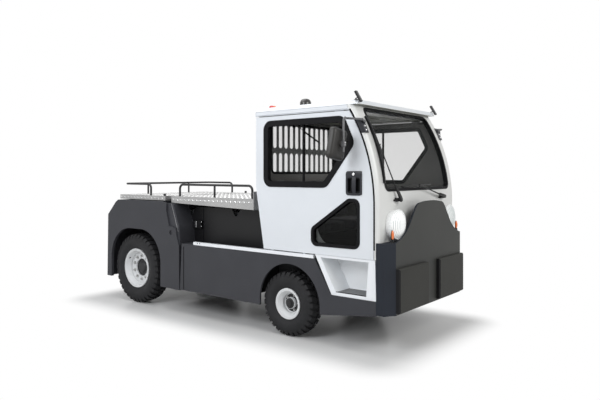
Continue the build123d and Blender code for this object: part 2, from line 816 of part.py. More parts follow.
with BuildPart() as steering_wheel:
    rim_plane = Plane(origin=hub_point, x_dir=(1, 0, 0), z_dir=column_axis)
    with BuildSketch(Plane(origin=hub_point, x_dir=column_axis, z_dir=(1, 0, 0))):
        with Locations((8, steering_wheel_radius - 14)):
            Circle(14)
    revolve(axis=Axis(hub_point, column_axis))
    with BuildSketch(rim_plane.offset(-hub_drop)):
        Circle(38)
    extrude(amount=42)
    for spoke_angle in (0, 130, 230):
        with BuildSketch(rim_plane.offset(2)):
            with Locations(Location((0, 0, 0), (0, 0, spoke_angle))):
                with Locations((0, -(steering_wheel_radius + 20) / 2)):
                    Rectangle(26, steering_wheel_radius - 40)
        extrude(amount=10)
steering_wheel.part.label = "steering_wheel"
export_step(steering_wheel.part, "parts/steering_wheel.step")

with BuildPart() as seat_pads:
    for centre_x in (-seat_x, seat_x):
        pad_x = (centre_x - seat_width / 2, centre_x + seat_width / 2)
        cushion_z = (cushion_top - cushion_wall + fit_gap, cushion_top)
        block(pad_x, (y_at(seat_front), y_at(seat_rear)), cushion_z)
        back_high = y_at(door_rear) - rear_wall - fit_gap
        back_low = back_high - (door_waist - cushion_top - 5) * rear_slope
        side_prism(
            pad_x,
            (
                (back_low - 80, cushion_top + 5),
                (back_low, cushion_top + 5),
                (back_high, door_waist),
                (back_high, door_waist + 60),
                (back_high - 60, door_waist + 60),
            ),
        )
seat_pads.part.label = "seat_pads"
export_step(seat_pads.part, "parts/seat_pads.step")

# ---------------------------------------------------------------- battery bay
with BuildPart() as battery:
    battery_x = (-battery_width / 2, battery_width / 2)
    end_gap = bay_wall + battery_clearance
    battery_z = (bay_floor_z + bay_wall, bay_floor_z + bay_wall + battery_height)
    block(battery_x, (bay_front_y + end_gap, bay_rear_y - end_gap), battery_z)
battery.part.label = "battery"
export_step(battery.part, "parts/battery.step")

panel_split = bay_rear_y - panel_tail
with BuildPart() as battery_bay_panels:
    panel_x = (bay_half_width, bay_half_width + 6)
    panel_z = (ledge_z, bay_top)
    block(panel_x, (bay_front_y, panel_split - panel_gap / 2), panel_z)
    block(panel_x, (panel_split + panel_gap / 2, bay_rear_y), panel_z)
    for notch_y in (bay_front_y + notch_front, bay_rear_y - notch_rear):
        notch = (
            (notch_y - 62, bay_top + 1),
            (notch_y - 14, bay_top - 71),
            (notch_y + 14, bay_top - 71),
            (notch_y + 62, bay_top + 1),
        )
        side_prism((bay_half_width - 1, bay_half_width + 7), notch, mode=Mode.SUBTRACT)
    latch_x = (bay_half_width + 6, bay_half_width + 30)
    block(latch_x, (panel_split + 11, panel_split + 128), (824, 904))
    mirror(about=Plane.YZ)
battery_bay_panels.part.label = "battery_bay_panels"
export_step(battery_bay_panels.part, "parts/battery_bay_panels.step")

cover_front_y = y_at(cover_front)
cover_rear_y = y_rear(hinge_back) - 22
hinge_y = y_rear(hinge_back)
hinge_z = cover_top - hinge_drop
hinge_x = deck_half - 95
knuckle_half = 18.0
with BuildPart() as battery_cover:
    cover_side = (
        (cover_rear_y, cover_top),
        (cover_rear_y, cover_low_rear),
        (cover_front_y, cover_low_front),
        (cover_front_y, cover_top),
    )
    side_prism((-deck_half, deck_half), cover_side)
    hollow = (
        (cover_rear_y - deck_plate, cover_top - deck_plate),
        (cover_rear_y - deck_plate, cover_low_front - 40),
        (cover_front_y + deck_plate, cover_low_front - 40),
        (cover_front_y + deck_plate, cover_top - deck_plate),
    )
    side_prism((-deck_half + deck_plate, deck_half - deck_plate), hollow, mode=Mode.SUBTRACT)
    # upstand towards the cab
    upstand_y = (cover_front_y, cover_front_y + deck_plate)
    block((-deck_half, deck_half), upstand_y, (cover_top, cover_top + cover_upstand))
    for knuckle_x in (-hinge_x, hinge_x):
        x_limits = (knuckle_x - knuckle_half, knuckle_x + knuckle_half)
        x_cylinder(x_limits, hinge_y, hinge_z, 14)
        block(x_limits, (cover_rear_y, hinge_y), (hinge_z - 5, hinge_z + 5))
        x_cylinder(x_limits, hinge_y, hinge_z, hinge_pin_radius + fit_gap, mode=Mode.SUBTRACT)
battery_cover.part.label = "battery_cover"
export_step(battery_cover.part, "parts/battery_cover.step")

with BuildPart() as cover_rails:
    for side_sign in (-1, 1):
        rail_line = side_sign * luggage_rail_x
        front_end = cover_front_y + cover_rail_front
        rear_end = cover_rear_y - cover_rail_rear
        tube(
            (
                (rail_line, rear_end, cover_top),
                (rail_line, rear_end, luggage_rail_z),
                (rail_line, front_end, luggage_rail_z),
                (rail_line, front_end, cover_top),
            )
        )
        middle_y = (front_end + rear_end) / 2 - cover_middle
        z_cylinder(rail_line, middle_y, (cover_top, luggage_rail_z - 3), tube_radius - 1)
cover_rails.part.label = "cover_rails"
export_step(cover_rails.part, "parts/cover_rails.step")

# ---------------------------------------------------------------- rear body
box_half = side_x - cover_plate
under_z = 200.0                # below all that the openings are cut from
body_side = (                  # side of the inner box: station from the rear axle, height
    (body_front_low, 225),
    (-737, 663),
    (-720, 851),
    (-631, 1073),
    (rear_deck_front - 6, 1073),
    (rear_deck_front - 6, rear_body_top),
    (275, rear_body_top),
    (322, 1065),
    (rear_overhang - 16, 926),
    (rear_overhang - cover_plate, 247),
)
cover_side = (                 # outer side cover, notched behind the battery bay
    (body_front_low, 225),
    (-737, 663),
    (-702, 751),
    (-685, 833),
    (-585, 851),
    (-543, 995),
    (-545, 1078),
    (rear_deck_front, rear_body_top),
    (275, rear_body_top),
    (322, 1065),
    (rear_overhang - 14, 926),
    (rear_overhang, 247),
)
with BuildPart() as rear_body:
    side_prism((-box_half, box_half), [(y_rear(s), z) for s, z in body_side])
    # hollow inside, open below
    with BuildSketch(Plane.YZ.offset(-box_half + body_plate)):
        with BuildLine():
            Polyline(*[(y_rear(s), z) for s, z in body_side], close=True)
        make_face()
        offset(amount=-body_plate, kind=Kind.INTERSECTION, mode=Mode.REPLACE)
    extrude(amount=2 * (box_half - body_plate), mode=Mode.SUBTRACT)
    floor_cut_y = (y_rear(body_front_low) + body_plate, y_rear(rear_overhang - cover_plate) - body_plate)
    box_inner = (-box_half + body_plate, box_half - body_plate)
    block(box_inner, floor_cut_y, (under_z, 400), mode=Mode.SUBTRACT)
    # the battery bay reaches in between the two sides
    bay_cut_y = (y_rear(body_front_low) - 20, bay_rear_y)
    bay_cut_x = (-bay_half_width - 7, bay_half_width + 7)
    block(bay_cut_x, bay_cut_y, (under_z, rear_body_top + 27), mode=Mode.SUBTRACT)
    for cover_x in ((-side_x, -box_half), (box_half, side_x)):
        side_prism(cover_x, [(y_rear(s), z) for s, z in cover_side])
    # rear panel, thicker than the sides
    block((-box_half, box_half), (rear_face_y - cover_plate, rear_face_y), (247, 926))
    for arch_x in (-side_x, side_x - cover_plate - body_plate):
        with BuildSketch(Plane.YZ.offset(arch_x)) as arch_face:
            with BuildLine():
                arch_line = FilletPolyline(
                    (y_rear(rear_arch_front), under_z),
                    (y_rear(rear_arch_front), rear_arch_top),
                    (y_rear(rear_arch_back), rear_arch_top),
                    (y_rear(rear_arch_back), under_z),
                    radius=rear_arch_corner,
                )
                Line(arch_line @ 1, arch_line @ 0)
            make_face()
        extrude(arch_face.sketch, amount=cover_plate + body_plate, mode=Mode.SUBTRACT)
    # round door stop below the notch
    for stop_x in ((-side_x - 1, -side_x + 12), (side_x - 12, side_x + 1)):
        x_cylinder(stop_x, y_rear(-614), 787, 22, mode=Mode.SUBTRACT)
rear_body.part.label = "rear_body"
export_step(rear_body.part, "parts/rear_body.step")

deck_front_y = y_rear(rear_deck_front)
deck_back_y = y_rear(rear_deck_back)
hinge_arm_y = (hinge_y, deck_front_y + deck_plate)
with BuildPart() as rear_deck:
    tray_outline = (
        (deck_front_y, rear_deck_low),
        (deck_front_y, rear_deck_top),
        (deck_back_y, rear_deck_top),
        (deck_back_y, rear_deck_low),
    )
    side_prism((-deck_half, deck_half), tray_outline)
    hollow_y = (deck_front_y + deck_plate, deck_back_y - deck_plate)
    hollow_x = (-deck_half + deck_plate, deck_half - deck_plate)
    block(hollow_x, hollow_y, (rear_deck_low - 1, rear_deck_top - deck_plate), mode=Mode.SUBTRACT)
    for runner_x in (-400, 400):
        runner_y = (deck_front_y + deck_plate, y_rear(260))
        block((runner_x - 20, runner_x + 20), runner_y, (rear_body_top, rear_deck_top - deck_plate))
    # hinge arms beside the cover's knuckles, with their pins
    for knuckle_x in (-hinge_x, hinge_x):
        for arm_sign in (-1, 1):
            inner = knuckle_x + arm_sign * (knuckle_half + 1)
            arm_x = sorted((inner, inner + arm_sign * 16))
            x_cylinder(arm_x, hinge_y, hinge_z, 14)
            block(arm_x, hinge_arm_y, (hinge_z - 14, hinge_z + 14))
        pin_x = (knuckle_x - knuckle_half - 17, knuckle_x + knuckle_half + 17)
        x_cylinder(pin_x, hinge_y, hinge_z, hinge_pin_radius)
rear_deck.part.label = "rear_deck"
export_step(rear_deck.part, "parts/rear_deck.step")

with BuildPart() as rear_rail:
    rail_front = y_rear(-211)
    rail_back = y_rear(232)
    tube(
        (
            (-luggage_rail_x, rail_front, rear_deck_top),
            (-luggage_rail_x, rail_front, luggage_rail_z),
            (-luggage_rail_x, rail_back, luggage_rail_z),
            (luggage_rail_x, rail_back, luggage_rail_z),
            (luggage_rail_x, rail_front, luggage_rail_z),
            (luggage_rail_x, rail_front, rear_deck_top),
        )
    )
    for post_x in (-300, 300):
        z_cylinder(post_x, rail_back, (rear_deck_top, luggage_rail_z - 3), tube_radius - 1)
    for knob_x in (-luggage_rail_x, luggage_rail_x):
        z_cylinder(knob_x, y_rear(-436), (rear_deck_top, rear_deck_top + 22), 13)
rear_rail.part.label = "rear_rail"
export_step(rear_rail.part, "parts/rear_rail.step")

# ---------------------------------------------------------------- tow coupling
coupling_y = rear_face_y + coupling_plate
jaw_end_y = rear_face_y + hitch_reach
pin_y = jaw_end_y - jaw_width / 2
with BuildPart() as tow_coupling:
    plate_z = (jaw_levels[0] - 30, jaw_levels[-1] + jaw_plate + 30)
    block((-110, 110), (rear_face_y, coupling_y), plate_z)
    for level in jaw_levels:
        with BuildSketch(Plane.XY.offset(level)):
            with Locations((0, pin_y)):
                Circle(jaw_width / 2)
            with Locations((0, (rear_face_y + pin_y) / 2)):
                Rectangle(jaw_width, pin_y - rear_face_y)
            with Locations((0, pin_y)):
                Circle(jaw_hole_radius, mode=Mode.SUBTRACT)
        extrude(amount=jaw_plate)
tow_coupling.part.label = "tow_coupling"
export_step(tow_coupling.part, "parts/tow_coupling.step")

pin_collar_z = jaw_levels[-1] + jaw_plate
with BuildPart() as tow_pin:
    z_cylinder(0, pin_y, (jaw_levels[1] - 5, pin_collar_z + 70), tow_pin_radius)
    z_cylinder(0, pin_y, (pin_collar_z + fit_gap, pin_collar_z + 12), tow_pin_radius + 9)
    ring_z = pin_collar_z + 95
    with BuildSketch(Plane.XZ.offset(-pin_y)):
        with Locations((0, ring_z + 12)):
            Circle(40)
            Circle(28, mode=Mode.SUBTRACT)
    extrude(amount=6, both=True)
tow_pin.part.label = "tow_pin"
export_step(tow_pin.part, "parts/tow_pin.step")

# ---------------------------------------------------------------- axles
drum_radius = 150.0
drum_inner_x = rear_wheel_x - 165
with BuildPart() as rear_axle:
    x_cylinder((-drum_inner_x, drum_inner_x), rear_axle_y, rear_axle_z, 65)
    for sign in (-1, 1):
        drum_x = sorted((sign * drum_inner_x, sign * (rear_wheel_x - 100)))
        x_cylinder(drum_x, rear_axle_y, rear_axle_z, drum_radius)
        stub_x = sorted((sign * (rear_wheel_x - 100), sign * (rear_wheel_x + rear_spindle_end)))
        x_cylinder(stub_x, rear_axle_y, rear_axle_z, spindle_radius)
        pad_x = sorted((sign * (rail_half_gauge - 40), sign * (rail_half_gauge + 40)))
        block(pad_x, (rear_axle_y - 60, rear_axle_y + 60), (rear_axle_z, rear_rail_bottom))
    x_cylinder((-120, 120), rear_axle_y, rear_axle_z, 130)
    # drive motor ahead of the reduction gear
    with BuildSketch(Plane.XZ.offset(-rear_axle_y)):
        with Locations((0, rear_axle_z + 20)):
            Circle(105)
    extrude(amount=420)
rear_axle.part.label = "rear_axle"
export_step(rear_axle.part, "parts/rear_axle.step")

beam_half_depth = 32.0
beam_half_height = 38.0
yoke_gap = 44.0
with BuildPart() as front_axle:
    beam_end = kingpin_x - 62
    beam_y = (front_axle_y - beam_half_depth, front_axle_y + beam_half_depth)
    block((-beam_end, beam_end), beam_y, (front_axle_z - beam_half_height, front_axle_z + beam_half_height))
    for sign in (-1, 1):
        web_x = sorted((sign * (beam_end - 16), sign * beam_end))
        block(web_x, beam_y, (front_axle_z - yoke_gap - 18, front_axle_z + yoke_gap + 18))
        for lug_z in (-yoke_gap - 18, yoke_gap):
            lug_x = sorted((sign * beam_end, sign * kingpin_x))
            block(lug_x, beam_y, (front_axle_z + lug_z, front_axle_z + lug_z + 18))
            eye_z = (front_axle_z + lug_z, front_axle_z + lug_z + 18)
            z_cylinder(sign * kingpin_x, front_axle_y, eye_z, beam_half_depth)
        kingpin_z = (front_axle_z - yoke_gap, front_axle_z + yoke_gap)
        z_cylinder(sign * kingpin_x, front_axle_y, kingpin_z, kingpin_radius)
        pad_x = sorted((sign * (rail_half_gauge - 35), sign * (rail_half_gauge + 35)))
        block(pad_x, beam_y, (front_axle_z, front_rail_bottom))
front_axle.part.label = "front_axle"
export_step(front_axle.part, "parts/front_axle.step")

for side, sign in (("right", -1), ("left", 1)):
    with BuildPart() as knuckle:
        boss_z = (front_axle_z - yoke_gap + fit_gap, front_axle_z + yoke_gap - fit_gap)
        z_cylinder(sign * kingpin_x, front_axle_y, boss_z, boss_radius)
        stub_x = sorted((sign * kingpin_x, sign * (front_wheel_x + front_spindle_end)))
        x_cylinder(stub_x, front_axle_y, front_axle_z, spindle_radius)
        z_cylinder(sign * kingpin_x, front_axle_y, boss_z, kingpin_radius + fit_gap, mode=Mode.SUBTRACT)
        # steering arm to the rear, with the tie rod's pin below it
        arm_z = (front_axle_z - yoke_gap + fit_gap, front_axle_z - yoke_gap + 20)
        arm_x = (sign * kingpin_x - 14, sign * kingpin_x + 14)
        block(arm_x, (front_axle_y + 30, front_axle_y + steer_arm_length), arm_z)
        z_cylinder(sign * kingpin_x, front_axle_y + steer_arm_length, arm_z, 16)
        pin_z = (arm_z[0] - 30, arm_z[1])
        z_cylinder(sign * kingpin_x, front_axle_y + steer_arm_length, pin_z, 7)
    knuckle.part.label = f"knuckle_{side}"
    export_step(knuckle.part, f"parts/knuckle_{side}.step")

with BuildPart() as tie_rod:
    rod_y = front_axle_y + steer_arm_length
    rod_z = front_axle_z - yoke_gap - 16
    x_cylinder((-kingpin_x, kingpin_x), rod_y, rod_z, tie_rod_radius - 2)
    for end_x in (-kingpin_x, kingpin_x):
        z_cylinder(end_x, rod_y, (rod_z - tie_rod_radius, rod_z + tie_rod_radius), 18)
        z_cylinder(end_x, rod_y, (rod_z - 40, rod_z + 40), 7 + fit_gap, mode=Mode.SUBTRACT)
tie_rod.part.label = "tie_rod"
export_step(tie_rod.part, "parts/tie_rod.step")


# ---------------------------------------------------------------- wheels
def tyre_section(radius, width, bead):
    """Half of a tyre's section as (x, radius) points, from the bead to the tread's middle."""
    wall = radius - bead
    return (
        (width * bead_share, bead),
        (width * bead_share, bead + 19),
        (width * 0.47, bead + wall * 0.32),
        (width * 0.50, bead + wall * 0.55),
        (width * 0.48, bead + wall * 0.80),
        (width * 0.40, radius - wall * 0.05),
        (width * 0.20, radius),
    )


front_wheel = (front_wheel_x, front_axle_y, front_tyre_radius, front_tyre_width, front_rim_radius)
rear_wheel = (rear_wheel_x, rear_axle_y, rear_tyre_radius, rear_tyre_width, rear_rim_radius)
front_hub = (front_disc_x, front_hub_step, front_hub_radius)
rear_hub = (rear_disc_x, rear_hub_step, rear_hub_radius)
wheels = (
    ("front_right", -1, *front_wheel, *front_hub),
    ("front_left", 1, *front_wheel, *front_hub),
    ("rear_right", -1, *rear_wheel, *rear_hub),
    ("rear_left", 1, *rear_wheel, *rear_hub),
)
for wheel_name, sign, wheel_x, wheel_y, radius, width, bead, disc_x, hub_step, hub_radius in wheels:
    centre = Plane(origin=(sign * wheel_x, wheel_y, radius), x_dir=(sign, 0, 0), z_dir=(0, -sign, 0))
    axle = Axis((sign * wheel_x, wheel_y, radius), (1, 0, 0))
    half = tyre_section(radius, width, bead)
    with BuildPart() as tyre:
        with BuildSketch(centre):
            with BuildLine():
                Polyline(*half, *[(-x, r) for x, r in reversed(half)], close=True)
            make_face()
        revolve(axis=axle)
    tyre.part.label = f"tyre_{wheel_name}"
    export_step(tyre.part, f"parts/tyre_{wheel_name}.step")

    flange = bead + 17
    rim_half = width * bead_share + fit_gap
    well = bead - 24
    hub_face = disc_x + hub_step
    disc_back = min(disc_x, hub_face + 3) - disc_plate
    bore = spindle_radius + fit_gap
    with BuildPart() as rim:
        with BuildSketch(centre):
            with BuildLine():
                Polyline(
                    (rim_half, flange),
                    (rim_half + flange_lip, flange),
                    (rim_half + flange_lip, bead - 4),
                    (rim_half * 0.5, well - rim_wall),
                    (disc_x + 6, well - rim_wall),
                    (disc_x, well - 20),
                    (disc_x, hub_radius),
                    (hub_face, hub_radius),
                    (hub_face, 0),
                    (hub_face - hub_plate, 0),
                    (hub_face - hub_plate, bore),
                    (disc_back - sleeve_length, bore),
                    (disc_back - sleeve_length, bore + sleeve_wall),
                    (disc_back, bore + sleeve_wall),
                    (disc_back, well - rim_wall),
                    (-rim_half, well - rim_wall),
                    (-rim_half - flange_lip, bead - 4 - rim_wall),
                    (-rim_half - flange_lip, flange),
                    (-rim_half, flange),
                    (-rim_half, bead - fit_gap),
                    (-rim_half * 0.5, well),
                    (rim_half * 0.4, well),
                    (rim_half, bead - fit_gap),
                    close=True,
                )
            make_face()
        revolve(axis=axle)
    rim.part.label = f"rim_{wheel_name}"
    export_step(rim.part, f"parts/rim_{wheel_name}.step")


# ---------------------------------------------------------------- doors
def window_face(x, points, corner, inset):
    """A window's outline on the door's plane, shrunk by an inset."""
    with BuildSketch(Plane.YZ.offset(x)) as outline:
        with BuildLine():
            FilletPolyline(*[(y_at(s), z) for s, z in points], radius=corner, close=True)
        make_face()
        if inset:
            offset(amount=-inset, mode=Mode.REPLACE)
    return outline.sketch


windows = (                    # outline, corner radius, seal width
    (upper_window, window_corner, window_seal),
    (lower_window, lower_corner, lower_seal),
)
door_inner_x = side_x - door_wall
door_top = roof_low - door_gap
door_seam = seam_radius - door_gap
for side, sign in (("right", -1), ("left", 1)):
    with BuildPart() as door_panel:
        with BuildSketch(Plane.YZ.offset(door_inner_x)):
            with BuildLine():
                middle = (nose_bend_z + door_top) / 2
                front = ThreePointArc(
                    *[(nose_y(door_seam, z), z) for z in (nose_bend_z, middle, door_top)]
                )
                Polyline(
                    front @ 1,
                    (y_at(door_rear), door_top),
                    (y_at(door_rear), door_waist),
                    (y_at(door_rear_low), door_low),
                    (nose_y(door_seam, nose_bend_z), door_low),
                    front @ 0,
                )
            make_face()
        extrude(amount=door_wall)
        for outline, corner, _ in windows:
            hole = window_face(door_inner_x, outline, corner, seal_cover)
            extrude(hole, amount=door_wall, mode=Mode.SUBTRACT)
        pocket_y = (y_at(handle_station) - handle_width / 2, y_at(handle_station) + handle_width / 2)
        pocket_z = (handle_z - handle_height / 2, handle_z + handle_height / 2)
        block((side_x - handle_depth, side_x + 1), pocket_y, pocket_z, mode=Mode.SUBTRACT)
        # guide in the roof's groove, and rollers on the sill's rail
        groove_centre = side_x - door_wall / 2
        guide_y = (groove_front + 30, groove_front + 110)
        block((groove_centre - 6, groove_centre + 6), guide_y, (door_top, roof_low + groove_depth - 6))
        roller_x = (side_x - 24, side_x - 8)
        for roller_station in (-200, 150):
            roller_z = door_low + 10
            x_cylinder(roller_x, y_at(roller_station), roller_z, roller_z - rail_top_z - fit_gap)
        if sign < 0:
            mirror(about=Plane.YZ, mode=Mode.REPLACE)
    door_panel.part.label = f"door_{side}_panel"
    export_step(door_panel.part, f"parts/door_{side}_panel.step")

    with BuildPart() as door_glass:
        glass_x = side_x - glass_set_in - glass_wall
        for outline, corner, seal in windows:
            extrude(window_face(glass_x, outline, corner, seal), amount=glass_wall)
        if sign < 0:
            mirror(about=Plane.YZ, mode=Mode.REPLACE)
    door_glass.part.label = f"door_{side}_glass"
    export_step(door_glass.part, f"parts/door_{side}_glass.step")

    with BuildPart() as door_trim:
        for outline, corner, seal in windows:
            extrude(window_face(door_inner_x + 4, outline, corner, seal_cover), amount=door_wall - 4)
            extrude(window_face(side_x, outline, corner, 0), amount=seal_lip)
            pane = window_face(door_inner_x, outline, corner, seal)
            extrude(pane, amount=door_wall + seal_lip + 1, mode=Mode.SUBTRACT)
        # handle: a cup with an upright grip
        block((side_x - handle_depth, side_x + 3), pocket_y, pocket_z)
        for cup_sign in (-1, 1):
            cup_y = y_at(handle_station) + cup_sign * 34
            cup_z = (handle_z - 66, handle_z + 30)
            block((side_x - 18, side_x + 4), (cup_y - 22, cup_y + 22), cup_z, mode=Mode.SUBTRACT)
        if sign < 0:
            mirror(about=Plane.YZ, mode=Mode.REPLACE)
    door_trim.part.label = f"door_{side}_trim"
    export_step(door_trim.part, f"parts/door_{side}_trim.step")
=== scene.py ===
import json
import math

import bmesh
import bpy
from mathutils import Matrix, Vector


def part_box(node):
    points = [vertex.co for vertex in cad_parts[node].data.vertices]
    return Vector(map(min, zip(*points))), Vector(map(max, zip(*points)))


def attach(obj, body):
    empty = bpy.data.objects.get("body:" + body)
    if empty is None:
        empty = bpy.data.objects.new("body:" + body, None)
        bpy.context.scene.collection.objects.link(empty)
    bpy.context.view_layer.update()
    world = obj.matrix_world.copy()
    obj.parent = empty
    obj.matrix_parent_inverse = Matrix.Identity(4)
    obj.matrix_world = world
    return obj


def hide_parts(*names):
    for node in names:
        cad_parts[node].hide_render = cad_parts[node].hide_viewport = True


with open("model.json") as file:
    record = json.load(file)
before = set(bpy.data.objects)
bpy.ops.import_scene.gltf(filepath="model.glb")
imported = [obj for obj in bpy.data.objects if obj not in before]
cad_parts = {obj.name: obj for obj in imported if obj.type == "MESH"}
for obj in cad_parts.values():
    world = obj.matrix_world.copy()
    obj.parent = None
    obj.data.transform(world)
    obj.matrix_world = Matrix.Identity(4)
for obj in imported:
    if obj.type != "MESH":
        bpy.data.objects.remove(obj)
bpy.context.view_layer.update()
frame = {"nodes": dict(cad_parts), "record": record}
nodes = frame["nodes"]
joints = {joint["name"]: joint for joint in frame["record"]["behaviour"]["joints"]}
SIDES = ((-1, "right"), (1, "left"))
HAIR = 0.0003                   # gap between a laid-on piece and what it lies on
BAND = 6.283 / 20               # metres between the bands of a wave texture at scale 1


# ---------- places from the frame
def low(node):
    return Vector(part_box(node)[0])


def high(node):
    return Vector(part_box(node)[1])


def middle(node):
    return (low(node) + high(node)) / 2


front_axle = Vector(joints["wheel_front_right_spin"]["pos_m"])
rear_axle = Vector(joints["wheel_rear_right_spin"]["pos_m"])
side_x = high("side_skirts").x
rear_face = high("rear_body").y
roof_top = high("roof").z


def station(metres):
    """Y of a point that far to the rear of the front axle."""
    return front_axle.y + metres


# ---------- shader nodes
def feed(tree, node, inputs):
    """Sets a node's inputs by name or number, each to a value or to the socket that feeds it."""
    for key, source in inputs.items():
        if isinstance(source, bpy.types.NodeSocket):
            tree.links.new(source, node.inputs[key])
        else:
            node.inputs[key].default_value = source


def add(tree, kind, inputs, **settings):
    """Adds a shader node with its settings and inputs, and gives its outputs."""
    node = tree.nodes.new("ShaderNode" + kind)
    for setting, value in settings.items():
        setattr(node, setting, value)
    feed(tree, node, inputs)
    return node.outputs


def maths(tree, operation, *values):
    """One step of arithmetic on sockets or numbers."""
    return add(tree, "Math", dict(enumerate(values)), operation=operation)["Value"]


def own_place(tree):
    return tree.nodes.new("ShaderNodeTexCoord").outputs["Object"]


def noise(tree, scale, detail=4.0):
    """Noise over object coordinates."""
    return add(tree, "TexNoise", {"Vector": own_place(tree), "Scale": scale, "Detail": detail})["Fac"]


def wave(tree, pitch, place=None, **settings):
    """Bands or rings that lie one pitch apart."""
    inputs = {"Vector": place if place else own_place(tree), "Scale": BAND / pitch, "Distortion": 0.0}
    return add(tree, "TexWave", inputs, **settings)["Fac"]


def opaque(colour):
    """A colour in thousandths as a shader takes it."""
    return (*(c / 1000 for c in colour), 1.0)


def tones(tree, source, shade, colour, start=0.3, end=0.7):
    """The shade where the source is low and the colour where it is high."""
    node = tree.nodes.new("ShaderNodeValToRGB")
    for element, level, tone in zip(node.color_ramp.elements, (start, end), (shade, colour)):
        element.position = level
        element.color = opaque(tone)
    tree.links.new(source, node.inputs["Fac"])
    return node.outputs["Color"]


def spread(tree, source, lowest, highest):
    """A value moved to a new range."""
    return add(tree, "MapRange", {"Value": source, "To Min": lowest, "To Max": highest})["Result"]


def relief(tree, source, strength, distance):
    return add(tree, "Bump", {"Height": source, "Strength": strength, "Distance": distance})["Normal"]


# ---------- kinds of material
def new_material(name):
    material = bpy.data.materials.new(name)
    material.use_nodes = True
    return material, material.node_tree, material.node_tree.nodes["Principled BSDF"]


def finish(
    name, colour, shade, gloss, grain, depth, metallic=0.0, coat=0.0, drift=3.0, shine=0.5, inside=None,
):
    """A surface whose colour drifts between two tones, with uneven gloss and a fine grain.

    inside is a second pair of tones and the test that picks it out on the same object.
    """
    material, tree, bsdf = new_material(name)
    cloud = noise(tree, drift, 5.0)
    tone = tones(tree, cloud, shade, colour)
    if inside:
        dark, dim, test = inside
        choice = {"Factor": test(tree), "A": tone, "B": tones(tree, cloud, dim, dark)}
        tone = add(tree, "Mix", choice, data_type="RGBA")["Result"]
    fine = noise(tree, grain, 3.0)
    feed(tree, bsdf, {
        "Base Color": tone,
        "Roughness": spread(tree, fine, *gloss),
        "Normal": relief(tree, fine, 0.35, depth),
        "Metallic": metallic,
        "Coat Weight": coat,
        "Coat Roughness": 0.12,
        "Specular IOR Level": shine,
    })
    return material


def within(*limits):
    """Axis A is |x|, and N before an axis is the surface's normal.
    """

    def test(tree):
        place = tree.nodes.new("ShaderNodeTexCoord").outputs
        spot, turned = (add(tree, "SeparateXYZ", {"Vector": place[kind]}) for kind in ("Object", "Normal"))
        result = None
        for axis, sign, bound in limits:
            source = (turned if axis[0] == "N" else spot)[axis[-1].replace("A", "X")]
            if axis[-1] == "A":
                source = maths(tree, "ABSOLUTE", source)
            holds = maths(tree, "GREATER_THAN" if sign > 0 else "LESS_THAN", source, bound)
            result = maths(tree, "MULTIPLY", result, holds) if result else holds
        return result

    return test


def clear(name, tint, alpha, shade_darkened_part=None):
    """Glass pane: mostly see-through, with a gloss that grows at grazing angles.

    shade_darkened_part is the test for a part darkened to let little through: painted shade for what lies
    behind it.
    """
    material, tree, bsdf = new_material(name)
    edge = add(tree, "LayerWeight", {"Blend": 0.2})["Facing"]
    opacity = spread(tree, edge, alpha, alpha + 0.35)
    if shade_darkened_part:
        opacity = maths(tree, "MAXIMUM", opacity, spread(tree, shade_darkened_part(tree), 0.0, 0.45))
    feed(tree, bsdf, {
        "Base Color": tones(tree, noise(tree, 5.0, 3.0), [c * 0.9 for c in tint], tint),
        "Roughness": 0.02,
        "Specular IOR Level": 0.15,
        "Alpha": opacity,
    })
    return material


def rings(name, colour, shade, centre, pitch, depth):
    """Rubber with fine moulded rings round a wheel's axis."""
    material, tree, bsdf = new_material(name)
    shifted = add(tree, "Mapping", {"Vector": own_place(tree), "Location": [-c for c in centre]})["Vector"]
    ridges = wave(tree, pitch, shifted, wave_type="RINGS", rings_direction="X")
    feed(tree, bsdf, {
        "Base Color": tones(tree, noise(tree, 9.0, 5.0), shade, colour),
        "Normal": relief(tree, ridges, 0.5, depth),
        "Roughness": spread(tree, noise(tree, 40.0), 0.55, 0.75),
        "Specular IOR Level": 0.25,
    })
    return material


def woven(name, colour, shade, pitch):
    """Upholstery cloth: two crossed waves for the weave, and sheen."""
    material, tree, bsdf = new_material(name)
    threads = maths(tree, "ADD", *(wave(tree, pitch, bands_direction=way) for way in "XY"))
    feed(tree, bsdf, {
        "Base Color": tones(tree, noise(tree, 8.0), shade, colour),
        "Normal": relief(tree, threads, 0.4, 0.0008),
        "Roughness": spread(tree, noise(tree, 60.0), 0.75, 0.92),
        "Sheen Weight": 0.25,
    })
    return material


def lit(name, colour, strength):
    """A coloured surface that glows faintly: lamp lenses, and, as painted light, the headlamps' white housing
    and reflector.
    """
    material, tree, bsdf = new_material(name)
    feed(tree, bsdf, {
        "Base Color": tones(tree, noise(tree, 90.0), [c * 0.8 for c in colour], colour),
        "Roughness": 0.18,
        "Coat Weight": 0.8,
        "Emission Color": opaque(colour),
        "Emission Strength": strength,
    })
    return material


def fluted(name, colour, shade, pitch):
    """Pressed lamp glass with painted light: upright bands of painted shade at the flutes' pitch, and a faint
    white glow that brightens it.
    """
    material, tree, bsdf = new_material(name)
    bands = wave(tree, pitch, bands_direction="X")
    feed(tree, bsdf, {
        "Base Color": tones(tree, bands, shade, colour, 0.25, 0.6),
        "Roughness": 0.08,
        "Coat Weight": 0.6,
        "Emission Color": (1, 1, 1, 1),
        "Emission Strength": 0.12,
    })
    return material


def white(name, colour=(760, 790, 830), shade=(730, 760, 800), inside=None):
    """The cab's gloss paint."""
    return finish(name, colour, shade, (0.30, 0.38), 220, 0.00006, coat=0.25, inside=inside)


# ---------- materials
# finish: name, colour, shade, range of roughness, grain's scale and depth; colours are in thousandths
headliner = ((420, 420, 370), (370, 370, 325))
trim = ((125, 124, 117), (105, 104, 98))
deep_black = ((6, 6, 7), (4, 4, 5))
roof_low = low("roof")
flute_pitch = 0.0165

